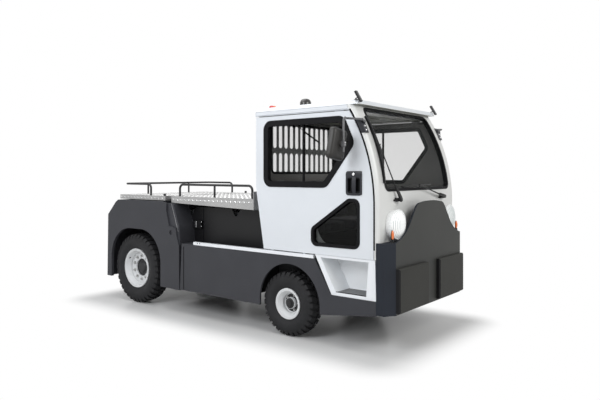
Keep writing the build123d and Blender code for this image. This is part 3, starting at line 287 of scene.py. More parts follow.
door_paint = white("door_white", inside=(*trim, within(("A", -1, side_x - 0.0385))))
# painted light: the nose's white is darker and warmer than the cab's other whites, standing in for the shade
# and warm light on its forward faces; inside the cab it takes the trim's colour
nose_paint_shaded_warm = white(
    "nose_white_shaded_warm", (710, 715, 705), (685, 690, 680),
    inside=(*trim, within(("NY", 1, 0.3), ("A", -1, side_x - 0.030))),
)
under_roof = within(("A", -1, side_x - 0.030), ("Z", -1, roof_top - 0.030), ("NZ", -1, 0.3))
roof_paint = white("roof_white", inside=(*headliner, under_roof))
wall_paint = white("wall_white", inside=(*trim, within(("NY", -1, -0.3))))
# painted light: the sills' white is lighter than the cab's, and lighter still inside the step recesses, to lift
# the shade that falls there
recess_painted_light = within(("A", -1, side_x - 0.006), ("Y", -1, front_axle.y - 0.25))
sill_white_painted_light = white(
    "sill_white_painted_light", (880, 900, 930), (840, 860, 900),
    inside=((930, 950, 970), (900, 920, 940), recess_painted_light),
)
charcoal = finish("charcoal_paint", (44, 45, 52), (38, 39, 45), (0.45, 0.55), 260, 0.00008, shine=0.25)
# painted light: the bumper's forward faces are a lighter olive grey than its navy sides, standing in for the
# warm front light and its reflection
bumper_paint_lit_front = finish(
    "bumper_paint_lit_front", (14, 18, 27), (11, 14, 21), (0.45, 0.58), 260, 0.0001, shine=0.25,
    inside=((34, 35, 32), (28, 29, 27), within(("NY", -1, -0.9))),
)
# painted shade: the pads' sideways faces are near-black, standing in for the deep shade at their sides
pad_rubber = finish(
    "pad_rubber", (32, 32, 29), (26, 26, 23), (0.6, 0.75), 160, 0.0003, shine=0.25,
    inside=(*deep_black, within(("NA", 1, 0.5))),
)
bay_black = finish(
    "bay_paint", (34, 36, 43), (28, 30, 36), (0.35, 0.48), 260, 0.0001, shine=0.3,
    inside=(*deep_black, within(("A", 1, 0.449))),
)
frame_black = finish("frame_black", (14, 14, 15), (10, 10, 11), (0.5, 0.65), 180, 0.0001, shine=0.2)
seal_rubber = finish("seal_rubber", (8, 8, 9), (6, 6, 7), (0.5, 0.65), 200, 0.0001, shine=0.1)
black_plastic = finish("black_plastic", (14, 14, 15), (9, 9, 10), (0.4, 0.55), 420, 0.0002, shine=0.25)
dash_black = finish("dash_black", (20, 20, 21), (14, 14, 15), (0.55, 0.7), 420, 0.0002, shine=0.25)
floor_trim = finish("floor_trim", (30, 30, 29), (22, 22, 21), (0.6, 0.8), 300, 0.0004, shine=0.3)
tube_black = finish("tube_black", (16, 16, 17), (11, 11, 12), (0.3, 0.42), 300, 0.00006, shine=0.4)
cast_iron = finish("axle_iron", (30, 30, 31), (22, 22, 23), (0.55, 0.75), 120, 0.0006, shine=0.25)
hub_black = finish("hub_black", (26, 26, 28), (18, 18, 19), (0.4, 0.55), 120, 0.0002, shine=0.35)
mirror_black = finish("mirror_shell", (22, 20, 18), (14, 13, 12), (0.35, 0.5), 300, 0.0001, shine=0.4)
navy_black = finish("navy_black", (20, 21, 28), (14, 15, 20), (0.3, 0.45), 300, 0.0001, shine=0.35)
smoked = finish("smoked_dome", (20, 18, 17), (12, 11, 10), (0.10, 0.18), 60, 0.00002, coat=0.3)
aluminium = finish(
    "aluminium", (460, 460, 455), (380, 380, 380), (0.28, 0.46), 90, 0.00008, metallic=0.6, drift=6.0,
)
bar_bright = finish(
    "chequer_bars", (860, 860, 850), (720, 720, 720), (0.2, 0.34), 120, 0.00006, metallic=0.6, drift=9.0,
)
edge_steel = finish("bare_edge", (500, 500, 510), (380, 380, 390), (0.3, 0.45), 160, 0.0001, metallic=0.7)
mirror_face = finish("mirror_face", (850, 870, 880), (820, 840, 850), (0.02, 0.04), 20, 0.0, metallic=1.0)
zinc = finish("zinc_steel", (550, 550, 540), (420, 420, 420), (0.28, 0.45), 140, 0.0001, metallic=0.9)
chrome = finish("chrome", (860, 860, 870), (780, 780, 790), (0.05, 0.10), 60, 0.00002, metallic=1.0)
arm_steel = finish("arm_steel", (130, 130, 135), (100, 100, 105), (0.3, 0.42), 200, 0.0001)
mid_grey = finish("mid_grey", (200, 205, 210), (170, 173, 177), (0.5, 0.65), 420, 0.0002)
rim_white = finish("rim_white", (760, 770, 780), (700, 710, 720), (0.38, 0.5), 150, 0.0001)
guard_grey = finish("guard_grey", (300, 310, 310), (250, 260, 260), (0.4, 0.5), 200, 0.0001)
battery_grey = finish("battery_grey", (80, 85, 90), (60, 65, 70), (0.5, 0.65), 160, 0.0003)
# painted shade: bluish grey for the strips laid on the roof's folds
fold_painted_shade = finish("fold_painted_shade", (400, 420, 460), (360, 380, 420), (0.4, 0.5), 220, 0.00006)
pocket_pale = finish("pocket_pale", (900, 960, 940), (840, 900, 880), (0.5, 0.65), 260, 0.0002)
lining_olive = finish("lining_olive", *headliner, (0.75, 0.9), 500, 0.0003, shine=0.2)
seat_cloth = woven("seat_cloth", (45, 46, 50), (30, 30, 34), 0.004)
window_glass = clear("window_glass", (30, 34, 33), 0.03)
# painted shade: below 1.27 m the door panes let far less through, a dark sheet standing in for the shaded cab
# behind them
door_glass = clear("door_glass", (4, 4.5, 4.5), 0.05, shade_darkened_part=within(("Z", -1, 1.27)))
lamp_glass = clear("lamp_glass", (950, 970, 980), 0.12)
amber = lit("amber_lens", (750, 160, 20), 0.15)
red_lens = lit("red_lens", (550, 20, 20), 0.1)
# painted light: the headlamps' white housing and reflector glow to lift their shade
lamp_white_painted_glow = lit("lamp_white_painted_glow", (900, 910, 910), 0.10)
# painted light: darker bands at the flutes and a white glow on the headlamp lenses
fluted_glass_painted_light = fluted("fluted_glass_painted_light", (970, 980, 980), (500, 550, 550), flute_pitch)

slot_members = {
    "black_plastic": (black_plastic, hub_black, smoked, mirror_black, arm_steel, navy_black),
    "pin_steel": (zinc, chrome, edge_steel),
    "lamp_amber": (amber, red_lens),
    "lamp_glass": (lamp_glass, lamp_white_painted_glow, fluted_glass_painted_light),
    "cab_white": (pocket_pale, fold_painted_shade, lining_olive),
    "seal_rubber": (seal_rubber, mid_grey),
    "chequer": (bar_bright,),
    "rim_white": (rim_white,),
    "frame_black": (frame_black,),
    "glass": (mirror_face,),
    "seat_fabric": (seat_cloth,),
}
usual_slot = {material: slot for slot, members in slot_members.items() for material in members}

finish_of_nodes = {
    "chassis_frame tow_coupling": frame_black,
    "side_skirts rear_body": charcoal,
    "sill_panels": sill_white_painted_light,
    "front_bumper": bumper_paint_lit_front,
    "bumper_pads": pad_rubber,
    "front_cowl": nose_paint_shaded_warm,
    "cab_glass": window_glass,
    "cab_seals door_right_trim door_left_trim": seal_rubber,
    "cab_floor": floor_trim,
    "rear_wall": wall_paint,
    "window_guard": guard_grey,
    "roof": roof_paint,
    "headlamps": lamp_glass,
    "signal_lamps": amber,
    "work_lights beacon wipers mirrors steering_wheel": black_plastic,
    "dashboard": dash_black,
    "seat_pads": seat_cloth,
    "battery": battery_grey,
    "battery_bay_panels": bay_black,
    "battery_cover rear_deck": aluminium,
    "cover_rails rear_rail": tube_black,
    "tow_pin tie_rod": zinc,
    "rear_axle front_axle knuckle_right knuckle_left": cast_iron,
    "door_right_panel door_left_panel": door_paint,
    "door_right_glass door_left_glass": door_glass,
    "rim_front_right rim_front_left rim_rear_right rim_rear_left": rim_white,
}
for names, material in finish_of_nodes.items():
    for node in names.split():
        nodes[node].data.materials.clear()
        nodes[node].data.materials.append(material)


# ---------- mesh building
def rounded(points, radius, steps=6):
    """A closed outline of 2-D points with its corners rounded."""
    outline = []
    count = len(points)
    for index in range(count):
        corner = Vector(points[index])
        before = (Vector(points[index - 1]) - corner).normalized()
        after = (Vector(points[(index + 1) % count]) - corner).normalized()
        half = before.angle(after) / 2
        start = corner + before * (radius / math.tan(half))
        centre = corner + (before + after).normalized() * (radius / math.sin(half))
        spoke = start - centre
        sweep = math.pi - 2 * half
        if before.x * after.y - before.y * after.x > 0:
            sweep = -sweep
        for step in range(steps + 1):
            cos, sin = math.cos(sweep * step / steps), math.sin(sweep * step / steps)
            outline.append((centre.x + spoke.x * cos - spoke.y * sin, centre.y + spoke.x * sin + spoke.y * cos))
    return outline


def rectangle(centre, width, height, radius):
    u, v = width / 2, height / 2
    corners = ((-u, -v), (u, -v), (u, v), (-u, v))
    return rounded([(centre[0] + du, centre[1] + dv) for du, dv in corners], radius)


def placed(u, v, n, origin):
    """Matrix with the given columns."""
    return Matrix([(u[k], v[k], n[k], origin[k]) for k in range(3)] + [(0, 0, 0, 1)])


def facing(axis, at):
    """Matrix from a flat outline to the plane across an axis: X as (y, z), Y as (x, z), Z as (x, y)."""
    columns = {
        "X": ((0, 1, 0), (0, 0, 1), (1, 0, 0), (at, 0, 0)),
        "Y": ((1, 0, 0), (0, 0, 1), (0, -1, 0), (0, at, 0)),
        "Z": ((1, 0, 0), (0, 1, 0), (0, 0, 1), (0, 0, at)),
    }
    return placed(*columns[axis])


def plate(name, outlines, depth, matrix, material, body="chassis", edge=0.0008, **more):
    """A flat plate with holes: outlines are the rim and the holes, and depth its thickness."""
    curve = bpy.data.curves.new(name, "CURVE")
    curve.dimensions = "2D"
    curve.fill_mode = "BOTH"
    curve.extrude = depth / 2 - edge
    curve.bevel_depth = edge
    curve.bevel_resolution = 1
    curve.offset = -edge
    for outline in outlines:
        spline = curve.splines.new("POLY")
        spline.points.add(len(outline) - 1)
        for point, (u, v) in zip(spline.points, outline):
            point.co = (u, v, 0, 1)
        spline.use_cyclic_u = True
    holder = bpy.data.objects.new(name + "_curve", curve)
    bpy.context.scene.collection.objects.link(holder)
    bpy.context.view_layer.update()
    evaluated = holder.evaluated_get(bpy.context.evaluated_depsgraph_get())
    mesh = bpy.data.meshes.new_from_object(evaluated)
    bpy.data.objects.remove(holder)
    mesh.transform(matrix)
    dressed(name, mesh, material, body, 30.0, merge=True, **more)


def dressed(name, mesh, material, body, smooth, merge=False, slot=None, stands_for=None):
    """An object of a mesh that rides on a body.

    stands_for is the CAD node it replaces. slot is not used.
    """
    editable = bmesh.new()
    editable.from_mesh(mesh)
    if merge:
        bmesh.ops.remove_doubles(editable, verts=editable.verts, dist=1e-6)
    bmesh.ops.recalc_face_normals(editable, faces=editable.faces)
    editable.to_mesh(mesh)
    editable.free()
    mesh.materials.clear()
    mesh.materials.append(material)
    if smooth:
        for polygon in mesh.polygons:
            polygon.use_smooth = True
        mesh.set_sharp_from_angle(angle=math.radians(smooth))
    thing = bpy.data.objects.new(name, mesh)
    bpy.context.scene.collection.objects.link(thing)
    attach(thing, body)
    slot or usual_slot[material]
    if stands_for:
        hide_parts(stands_for)
    return thing


class Shape:
    """Collects the vertices and faces of one piece, in metres in the CAD's frame."""

    def __init__(self):
        self.verts = []
        self.faces = []

    def add(self, verts, faces):
        start = len(self.verts)
        self.verts.extend(tuple(v) for v in verts)
        self.faces.extend(tuple(start + i for i in face) for face in faces)

    def wrap(self, verts, steps, ring=False):
        """Joins rows of vertices into a tube with end faces, or into a ring that closes on itself."""
        rows = len(verts) // steps
        faces = []
        for row in range(rows if ring else rows - 1):
            shift = ((row + 1) % rows - row) * steps
            for step in range(steps):
                a, b = row * steps + step, row * steps + (step + 1) % steps
                faces.append((a, b, b + shift, a + shift))
        if not ring:
            faces += [tuple(range(steps))[::-1], tuple(range((rows - 1) * steps, rows * steps))]
        self.add(verts, faces)

    def box(self, centre, size, turn=Matrix.Identity(3)):
        half_x, half_y, half_z = (s / 2 for s in size)
        corners = [(x, y, z) for x in (-half_x, half_x) for y in (-half_y, half_y) for z in (-half_z, half_z)]
        faces = ((0, 1, 3, 2), (4, 6, 7, 5), (0, 4, 5, 1), (2, 3, 7, 6), (0, 2, 6, 4), (1, 5, 7, 3))
        self.add([Vector(centre) + turn @ Vector(corner) for corner in corners], faces)

    def lathe(self, origin, axis, profile, steps=32, ring=False):
        """Turns (along, radius) points round an axis; a ring's profile closes on itself."""
        axis = Vector(axis).normalized()
        across = axis.orthogonal().normalized()
        other = axis.cross(across)
        verts = []
        for along, radius in profile:
            for step in range(steps):
                angle = math.tau * step / steps
                spoke = across * math.cos(angle) + other * math.sin(angle)
                verts.append(Vector(origin) + axis * along + spoke * radius)
        self.wrap(verts, steps, ring)

    def beam(self, points, sizes, side):
        """A bar through points; sizes are (across, deep) at each or at all, and side the way across."""
        side = Vector(side).normalized()
        points = [Vector(point) for point in points]
        if not isinstance(sizes, list):
            sizes = [sizes] * len(points)
        verts = []
        for index, (across, deep) in enumerate(sizes):
            ahead = points[min(index + 1, len(points) - 1)] - points[max(index - 1, 0)]
            deep_way = ahead.cross(side).normalized()
            for u, v in ((-1, -1), (1, -1), (1, 1), (-1, 1)):
                verts.append(points[index] + side * u * across / 2 + deep_way * v * deep / 2)
        self.wrap(verts, 4)

    def bolt(self, centre, axis, size, tall=None):
        """A hexagon head on a washer."""
        tall = tall or size * 0.45
        self.lathe(centre, axis, ((0, size * 0.75), (tall * 0.2, size * 0.75)), 16)
        self.lathe(centre, axis, ((tall * 0.2, size * 0.5), (tall * 0.9, size * 0.5), (tall, size * 0.44)), 6)

    def tube(self, points, radius, steps=10):
        """A round bar through points, with mitred corners."""
        points = [Vector(p) for p in points]
        across = None
        verts = []
        for index, point in enumerate(points):
            before = (point - points[index - 1]).normalized() if index else None
            after = (points[index + 1] - point).normalized() if index < len(points) - 1 else None
            heading = ((before or after) + (after or before)).normalized()
            across = across - heading * across.dot(heading) if across else heading.orthogonal()
            across.normalize()
            other = heading.cross(across)
            for step in range(steps):
                angle = math.tau * step / steps
                verts.append(point + (across * math.cos(angle) + other * math.sin(angle)) * radius)
        self.wrap(verts, steps)


def piece(name, shape, material, body="chassis", smooth=35.0, bevel=0.0, **more):
    """Makes an object of a shape and lets it ride on a body."""
    mesh = bpy.data.meshes.new(name)
    mesh.from_pydata(shape.verts, [], shape.faces)
    thing = dressed(name, mesh, material, body, smooth, **more)
    if bevel:
        modifier = thing.modifiers.new("bevel", "BEVEL")
        modifier.width = bevel
        modifier.segments = 2
        modifier.limit_method = "ANGLE"
    return thing


# ---------- tyres
def round_wheel(axle, across, radius, angle):
    """A point of a tyre, across the tread and round the axle."""
    return axle + Vector((across, radius * math.cos(angle), radius * math.sin(angle)))


def tyre(name, body, axle, radius, width, bead, lugs):
    """A tyre with moulded sidewall rings and two rows of tread blocks that wrap the shoulders."""
    shape = Shape()
    wall = radius - bead
    crown = radius - 0.013
    foot = crown - 0.002            # where a tread block starts
    half = (                        # (across, radius) from the bead to the middle of the tread
        (width * 0.37, bead),
        (width * 0.37, bead + 0.019),
        (width * 0.405, bead + 0.022),
        (width * 0.44, bead + wall * 0.24),
        (width * 0.455, bead + wall * 0.26),
        (width * 0.485, bead + wall * 0.40),
        (width * 0.492, bead + wall * 0.42),
        (width * 0.498, bead + wall * 0.52),
        (width * 0.492, bead + wall * 0.66),
        (width * 0.480, bead + wall * 0.70),
        (width * 0.460, bead + wall * 0.80),
        (width * 0.40, crown - wall * 0.06),
        (width * 0.25, crown),
        (width * 0.08, crown + 0.001),
    )
    steps = 96
    rows = [*half, *[(-x, r) for x, r in reversed(half)]]
    turns = [math.tau * step / steps for step in range(steps)]
    shape.wrap([round_wheel(axle, x, r, angle) for x, r in rows for angle in turns], steps, ring=True)
    block_line = (                  # (share across, outer radius, inner radius, lean of the block)
        (0.055, radius, foot, 0.0),
        (0.20, radius, foot, 0.10),
        (0.25, radius - 0.001, foot, 0.14),
        (0.41, radius - wall * 0.045, crown - wall * 0.09, 0.30),
        (0.485, bead + wall * 0.80, bead + wall * 0.79, 0.34),
        (0.49, bead + wall * 0.72, bead + wall * 0.71, 0.36),
    )
    block_faces = [(0, 2, 3, 1), (20, 21, 23, 22)]
    for s in range(0, 20, 4):
        block_faces += [(s, s + 1, s + 5, s + 4), (s, s + 4, s + 6, s + 2), (s + 1, s + 3, s + 7, s + 5)]
    pitch = math.tau / lugs
    for side, start in ((-1, 0.0), (1, 0.5)):
        for lug in range(lugs):
            verts = []
            for across, outer, inner, lean in block_line:
                half_angle = pitch * (0.30 if across < 0.3 else 0.33)
                centre_angle = pitch * (lug + start + lean * side)
                verts += [
                    round_wheel(axle, side * across * width, r, centre_angle + edge * half_angle)
                    for r in (outer, inner) for edge in (-1, 1)
                ]
            shape.add(verts, block_faces)
    material = rings(f"{name}_rubber", (19, 19, 21), (13, 13, 14), axle, 0.012, 0.0006)
    thing = piece(name, shape, material, body, slot="tyre", smooth=30.0)
    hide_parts(name.replace("treaded_", ""))


# ---------- wheels
# tread blocks a side; hub's radius; the disc's, the hub's and the nuts' seat from the wheel's middle;
# bolts in the hub and their size; nuts, their circle and size; turn of the valve
front_kind = (30, 0.045, -0.0025, 0.0350, 0.0008, 6, 0.006, 5, 0.063, 0.015, 2.4)
rear_kind = (36, 0.092, 0.0086, -0.0064, 0.0089, 8, 0.011, 10, 0.123, 0.024, 0.6)
for wheel in ("front_right", "front_left", "rear_right", "rear_left"):
    rear = wheel.startswith("rear")
    (lugs, hub_radius, disc_face, hub_face, nut_seat, bolt_count, bolt_size,
     nut_count, nut_circle, nut_size, valve_turn) = rear_kind if rear else front_kind
    body = f"wheel_{wheel}"
    axle = Vector(joints[f"wheel_{wheel}_spin"]["pos_m"])
    width = high(f"tyre_{wheel}").x - low(f"tyre_{wheel}").x
    flange = (high(f"rim_{wheel}").z - low(f"rim_{wheel}").z) / 2
    plane = width * 0.37 + 0.0083   # outer plane of the rim's flange
    tyre(f"treaded_tyre_{wheel}", body, axle, axle.z, width, flange - 0.017, lugs)
    out = Vector((math.copysign(1, axle.x), 0, 0))

    def spot(along, radius, turn):
        """A point on the wheel's outer side."""
        return axle + out * along + Vector((0, radius * math.cos(turn), radius * math.sin(turn)))

    def ring(name, along, profile, steps):
        """A white ring that lies on the rim."""
        shape = Shape()
        shape.lathe(spot(along, 0, 0), out, profile, steps, ring=True)
        piece(f"{name}_{wheel}", shape, rim_white, body)

    hub = Shape()
    cover = hub_radius - 0.001
    hub_profile = (
        (0, cover),
        (0.004, cover),
        (0.006, cover - 0.004),
        (0.006, cover * 0.68),
        (0.016, cover * 0.6),
        (0.021, cover * 0.52),
        (0.0225, cover * 0.25),
    )
    hub.lathe(spot(hub_face + HAIR, 0, 0), out, hub_profile, 40)
    for index in range(bolt_count):
        hub.bolt(spot(hub_face + 0.006, cover * 0.84, math.tau * index / bolt_count), out, bolt_size)
    nuts = Shape()
    stud = ((0, nut_size * 0.27), (nut_size, nut_size * 0.27), (nut_size * 1.08, nut_size * 0.18))
    for index in range(nut_count):
        nut_at = spot(nut_seat, nut_circle, math.tau * (index + 0.5) / nut_count)
        nuts.bolt(nut_at, out, nut_size, nut_size * 0.75)
        nuts.lathe(nut_at, out, stud, 10)
    if rear:
        ring("disc_step", disc_face, ((HAIR, 0.094), (0.004, 0.096), (0.004, 0.099), (HAIR, 0.101)), 48)
    else:
        boss = ((HAIR, 0.0455), (0.003, 0.0455), (0.003, 0.077), (HAIR, 0.078))
        hub.lathe(spot(disc_face, 0, 0), out, boss, 40, ring=True)
        collar = ((-0.020, 0.0453), (0.0005, 0.0453), (0.0005, 0.0485), (-0.020, 0.0495))
        ring("hub_collar", hub_face, collar, 40)
    piece(f"hub_cap_{wheel}", hub, hub_black, body)
    piece(f"wheel_nuts_{wheel}", nuts, zinc, body)
    edge = flange - 0.0005
    lip = ((HAIR, edge - 0.009), (0.003, edge - 0.010), (0.0045, edge - 0.005), (0.003, edge), (HAIR, edge))
    ring("flange_ring", plane, lip, 72)
    valve = Shape()
    valve_foot = spot(plane - 0.034, flange - 0.036, valve_turn)
    valve_tip = spot(plane - 0.004, flange - 0.044, valve_turn)
    valve.tube([valve_foot, valve_foot + out * 0.012, valve_tip], 0.004, 8)
    piece(f"valve_{wheel}", valve, black_plastic, body)


# ---------- chequer plate
def chequer_panel(name, body, start, end, normal):
    """Raised lens-shaped bars in alternating directions over a rectangle given by two opposite corners."""
    pitch = 0.029
    margin = 0.006
    rise = 0.0016
    length, half_breadth = pitch * 0.82, pitch * 0.10
    start, end, normal = Vector(start), Vector(end), Vector(normal)
    axes = [i for i in range(3) if abs(normal[i]) < 0.5]
    along, across = (Vector([float(i == axis) for i in range(3)]) for axis in axes)
    spans = [abs(end[axis] - start[axis]) - 2 * margin for axis in axes]
    columns, rows = (max(1, int(span / pitch)) for span in spans)
    corner = Vector([min(start[i], end[i]) for i in range(3)])
    for way, span, count in zip((along, across), spans, (columns, rows)):
        corner += way * ((span - count * pitch) / 2 + margin)
    # share of the bar's length along it, of its half width beside it, and of its rise
    lens = (
        (0.5, 0, 0), (0.2, 1, 0), (-0.2, 1, 0), (-0.5, 0, 0),
        (-0.2, -1, 0), (0.2, -1, 0), (0.28, 0, 1), (-0.28, 0, 1),
    )
    faces = ((0, 1, 6), (1, 2, 7, 6), (2, 3, 7), (3, 4, 7), (4, 5, 6, 7), (5, 0, 6))
    shape = Shape()
    for row in range(rows):
        for column in range(columns):
            centre = corner + along * pitch * (column + 0.5) + across * pitch * (row + 0.5)
            lean = math.pi / 4 if (row + column) % 2 else -math.pi / 4
            heading = along * math.cos(lean) + across * math.sin(lean)
            beside = normal.cross(heading)
            verts = [
                centre + heading * length * a + beside * half_breadth * b + normal * rise * c
                for a, b, c in lens
            ]
            shape.add(verts, faces)
    piece(name, shape, bar_bright, body, smooth=0)


cover_low, cover_high = low("battery_cover"), high("battery_cover")
upstand, hinge_reach = 0.066, 0.036
cover_top = cover_high.z - upstand
cover_back = cover_high.y - hinge_reach
deck_low, deck_high = low("rear_deck"), high("rear_deck")
deck_front = rear_axle.y - 0.464
side_panel, deck_side_panel = 0.066, 0.044   # heights of the chequered sides
chequer_panel(
    "chequer_cover_top", "battery_cover",
    (cover_low.x, cover_low.y + 0.008, cover_top), (cover_high.x, cover_back, cover_top), (0, 0, 1),
)
chequer_panel("chequer_rear_top", "chassis", (deck_low.x, deck_front, deck_high.z), deck_high, (0, 0, 1))
for side, label in SIDES:
    face_x = cover_high.x * side
    chequer_panel(
        f"chequer_cover_{label}", "battery_cover",
        (face_x, cover_low.y, cover_top - side_panel), (face_x, cover_back, cover_top), (side, 0, 0),
    )
    chequer_panel(
        f"chequer_rear_{label}", "chassis",
        (face_x, deck_front, deck_high.z - deck_side_panel), (face_x, deck_high.y, deck_high.z), (side, 0, 0),
    )


# ---------- nose: places on the curved front
nose_front = low("front_cowl").y
bend_z = 1.130
nose_radius = 1.400
forward = Vector((0, -1, 0))
upward = Vector((0, 0, 1))
outward = Vector((1, 0, 0))


def nose_y(z, lift=0.0):
    """Y of the nose's outer face at a height, moved out by a lift."""
    if z < bend_z:
        return nose_front - lift
    return nose_front + nose_radius - math.sqrt((nose_radius + lift) ** 2 - (z - bend_z) ** 2)


def on_nose(x, z, lift=0.0):
    return Vector((x, nose_y(z, lift), z))


# ---------- headlamps
lamp_low, lamp_high = low("headlamps"), high("headlamps")
lamp_z = (lamp_low.z + lamp_high.z) / 2
lamp_radius = (lamp_high.z - lamp_low.z) / 2
lamp_x = lamp_high.x - lamp_radius
lens_edge = 0.058               # nose to the lens's edge
lens_dome = nose_front - lamp_low.y - lens_edge
lens_radius = lamp_radius - 0.006
flute_depth = 0.0021
bowl_profile = (                # (ahead of the nose, radius) round the housing's wall
    (HAIR, lamp_radius - 0.010),
    (0.020, lamp_radius - 0.004),
    (0.044, lamp_radius - 0.001),
    (0.050, lamp_radius),
    (0.057, lamp_radius),
    (0.0595, lamp_radius - 0.003),
    (0.057, lamp_radius - 0.0065),
    (0.046, lamp_radius - 0.009),
    (HAIR, lamp_radius - 0.016),
)
reflector_profile = (
    (0.004, 0.0),
    (0.008, 0.040),
    (0.020, 0.080),
    (0.047, lamp_radius - 0.0105),
    (0.041, lamp_radius - 0.0105),
    (0.003, 0.040),
    (0.001, 0.0),
)


def fluted_lens(seat):
    """A domed glass with upright flutes, as an outer and an inner skin joined at the edge."""
    lens = Shape()
    rows, steps = 18, 192
    sphere = (lens_radius**2 + lens_dome**2) / (2 * lens_dome)
    verts = []
    skins = [(row, 0.0) for row in range(rows + 1)] + [(row, 0.004) for row in reversed(range(rows + 1))]
    for row, skin in skins:
        r = max(lens_radius * row / rows, 0.0006)
        rise = lens_edge - 0.0035 + math.sqrt(sphere**2 - r**2) - (sphere - lens_dome) - skin
        flute = 0.0 if skin else flute_depth * (1 - (r / lens_radius) ** 8)
        for step in range(steps):
            turn = math.tau * step / steps
            across = r * math.cos(turn)
            ridge = flute * math.cos(math.tau * across / flute_pitch)
            verts.append(seat + Vector((across, -rise - ridge, r * math.sin(turn))))
    lens.wrap(verts, steps)
    return lens


for side, label in SIDES:
    seat = Vector((side * lamp_x, nose_front, lamp_z))
    bowl = Shape()
    bowl.lathe(seat, forward, bowl_profile, 72, ring=True)
    piece(f"headlamp_shell_{label}", bowl, lamp_white_painted_glow, stands_for="headlamps")
    reflector = Shape()
    reflector.lathe(seat, forward, reflector_profile, 56, ring=True)
    piece(f"headlamp_reflector_{label}", reflector, lamp_white_painted_glow)
    lens = fluted_lens(seat)
    piece(f"headlamp_lens_{label}", lens, fluted_glass_painted_light, smooth=60.0)
    screws = Shape()
    for turn in (0.6, 2.5, 4.7):
        screw = Vector((math.cos(turn), 0, math.sin(turn))) * (lamp_radius - 0.003)
        screw_head = ((0, 0.003), (0.0018, 0.0028), (0.0024, 0.0015))
        screws.lathe(seat + screw + forward * 0.059, forward, screw_head, 12)
    piece(f"headlamp_screws_{label}", screws, chrome)


# ---------- indicators, tail lamps and roof markers
tail_x, tail_z = 0.560, 0.820
indicator_x, indicator_z = 0.580, 0.914
indicator_half_width, indicator_half_height = 0.014, 0.036
indicator_back = nose_front - lens_edge - 0.002
shelf_top = 0.855 + HAIR
marker_x = 0.500
marker_y = high("roof").y - 0.046
rib_row, tail_ribs = 0.084, 14    # length of a tail lens's row of ribs, and how many
tail_lenses = ((0.056, 0.888, amber), (0.078, 0.818, red_lens), (0.046, 0.752, lamp_glass))
marker_profile = ((0, 0.026), (0.008, 0.026), (0.016, 0.0234), (0.022, 0.01612), (0.0245, 0.0065))


def domed_oval(shape, centre, half_width, half_height, base, bulge):
    """Adds an oval that faces forward: a straight rim and a dome."""
    rows, steps = 7, 32
    verts = []
    for row in range(rows + 2):
        share = min(row / rows, 1.0)
        reach = max(share, 0.02)
        rise = base + bulge * math.cos(share * math.pi / 2) if row <= rows else 0.0
        for step in range(steps):
            turn = math.tau * step / steps
            across, up = half_width * reach * math.cos(turn), half_height * reach * math.sin(turn)
            verts.append(centre + Vector((across, -rise, up)))
    shape.wrap(verts, steps)


for side, label in SIDES:
    lens_at = Vector((side * indicator_x, indicator_back, indicator_z))
    holder = Shape()
    domed_oval(holder, lens_at, indicator_half_width + 0.0012, indicator_half_height + 0.0015, 0.006, 0.0)
    stem_foot = Vector((lens_at.x, indicator_back - 0.010, shelf_top))
    stem_top = Vector((lens_at.x, indicator_back - 0.008, indicator_z - 0.030))
    knee = stem_foot + upward * 0.006
    holder.beam([stem_foot, knee], [(0.026, 0.018), (0.022, 0.016)], outward)
    holder.beam([knee, stem_top], [(0.014, 0.014), (0.018, 0.012)], outward)
    piece(f"indicator_base_{label}", holder, black_plastic, smooth=50.0, stands_for="signal_lamps")
    lens = Shape()
    domed_oval(lens, lens_at + forward * 0.0062, indicator_half_width, indicator_half_height, 0.005, 0.0085)
    piece(f"indicator_lens_{label}", lens, amber, smooth=60.0, stands_for="signal_lamps")

    # tail cluster: a black housing with amber, red and clear ribbed lenses
    rear_y = rear_face + HAIR
    outline = rectangle((side * tail_x, tail_z), 0.098, 0.208, 0.016)
    housing_at = facing("Y", rear_y + 0.005)
    plate(
        f"tail_housing_{label}", [outline], 0.010, housing_at, black_plastic,
        edge=0.002, stands_for="signal_lamps",
    )
    for index, (height, z, material) in enumerate(tail_lenses):
        lens = Shape()
        for rib in range(tail_ribs):
            x = side * tail_x + rib_row * ((rib + 0.5) / tail_ribs - 0.5)
            lens.box((x, rear_y + 0.0152, z), (0.0052, 0.0106, height))
        lens.box((side * tail_x, rear_y + 0.0135, z), (0.086, 0.008, height + 0.004))
        piece(f"tail_lens_{label}_{index + 1}", lens, material, bevel=0.0012)

    # roof marker: an amber and a red half on a black foot
    foot = rectangle((side * marker_x, marker_y), 0.072, 0.062, 0.013)
    foot_at = facing("Z", roof_top + 0.006 + HAIR)
    plate(f"marker_foot_{label}", [foot], 0.012, foot_at, black_plastic, edge=0.002)
    for index, (shift, material) in enumerate(((-0.016, amber), (0.016, red_lens))):
        cap = Shape()
        cap.lathe((0, marker_y, roof_top + 0.0125), (0, 0, 1), marker_profile, 28)
        cap.verts = [(x * 0.48 + side * (marker_x + shift), y, z) for x, y, z in cap.verts]
        piece(f"marker_lens_{label}_{index + 1}", cap, material, smooth=50.0, stands_for="signal_lamps")

# ---------- beacon
beacon_at = Vector((middle("beacon").x, middle("beacon").y, roof_top + HAIR))
foot_profile = (
    (0, 0.062), (0.010, 0.062), (0.014, 0.058), (0.030, 0.056),
    (0.034, 0.060), (0.045, 0.060), (0.047, 0.056),
)
beacon_foot = Shape()
beacon_foot.lathe(beacon_at, (0, 0, 1), foot_profile, 48)
for index in range(3):
    turn = 2.1 * index + 0.4
    bolt_at = beacon_at + Vector((math.cos(turn), math.sin(turn), 0)) * 0.0595
    bolt_at.z = roof_top + 0.0105
    beacon_foot.bolt(bolt_at, (0, 0, 1), 0.005)
piece("beacon_foot", beacon_foot, black_plastic, stands_for="beacon")
dome = Shape()
dome_profile = [(0.047 + 0.004 * index, 0.0547 if index % 2 else 0.0535) for index in range(15)]
dome_profile += [(0.112, 0.051), (0.126, 0.044), (0.135, 0.032), (0.1392, 0.016), (0.1398, 0.004)]
dome.lathe(beacon_at, (0, 0, 1), dome_profile, 56)
piece("beacon_dome", dome, smoked, smooth=50.0, stands_for="beacon")

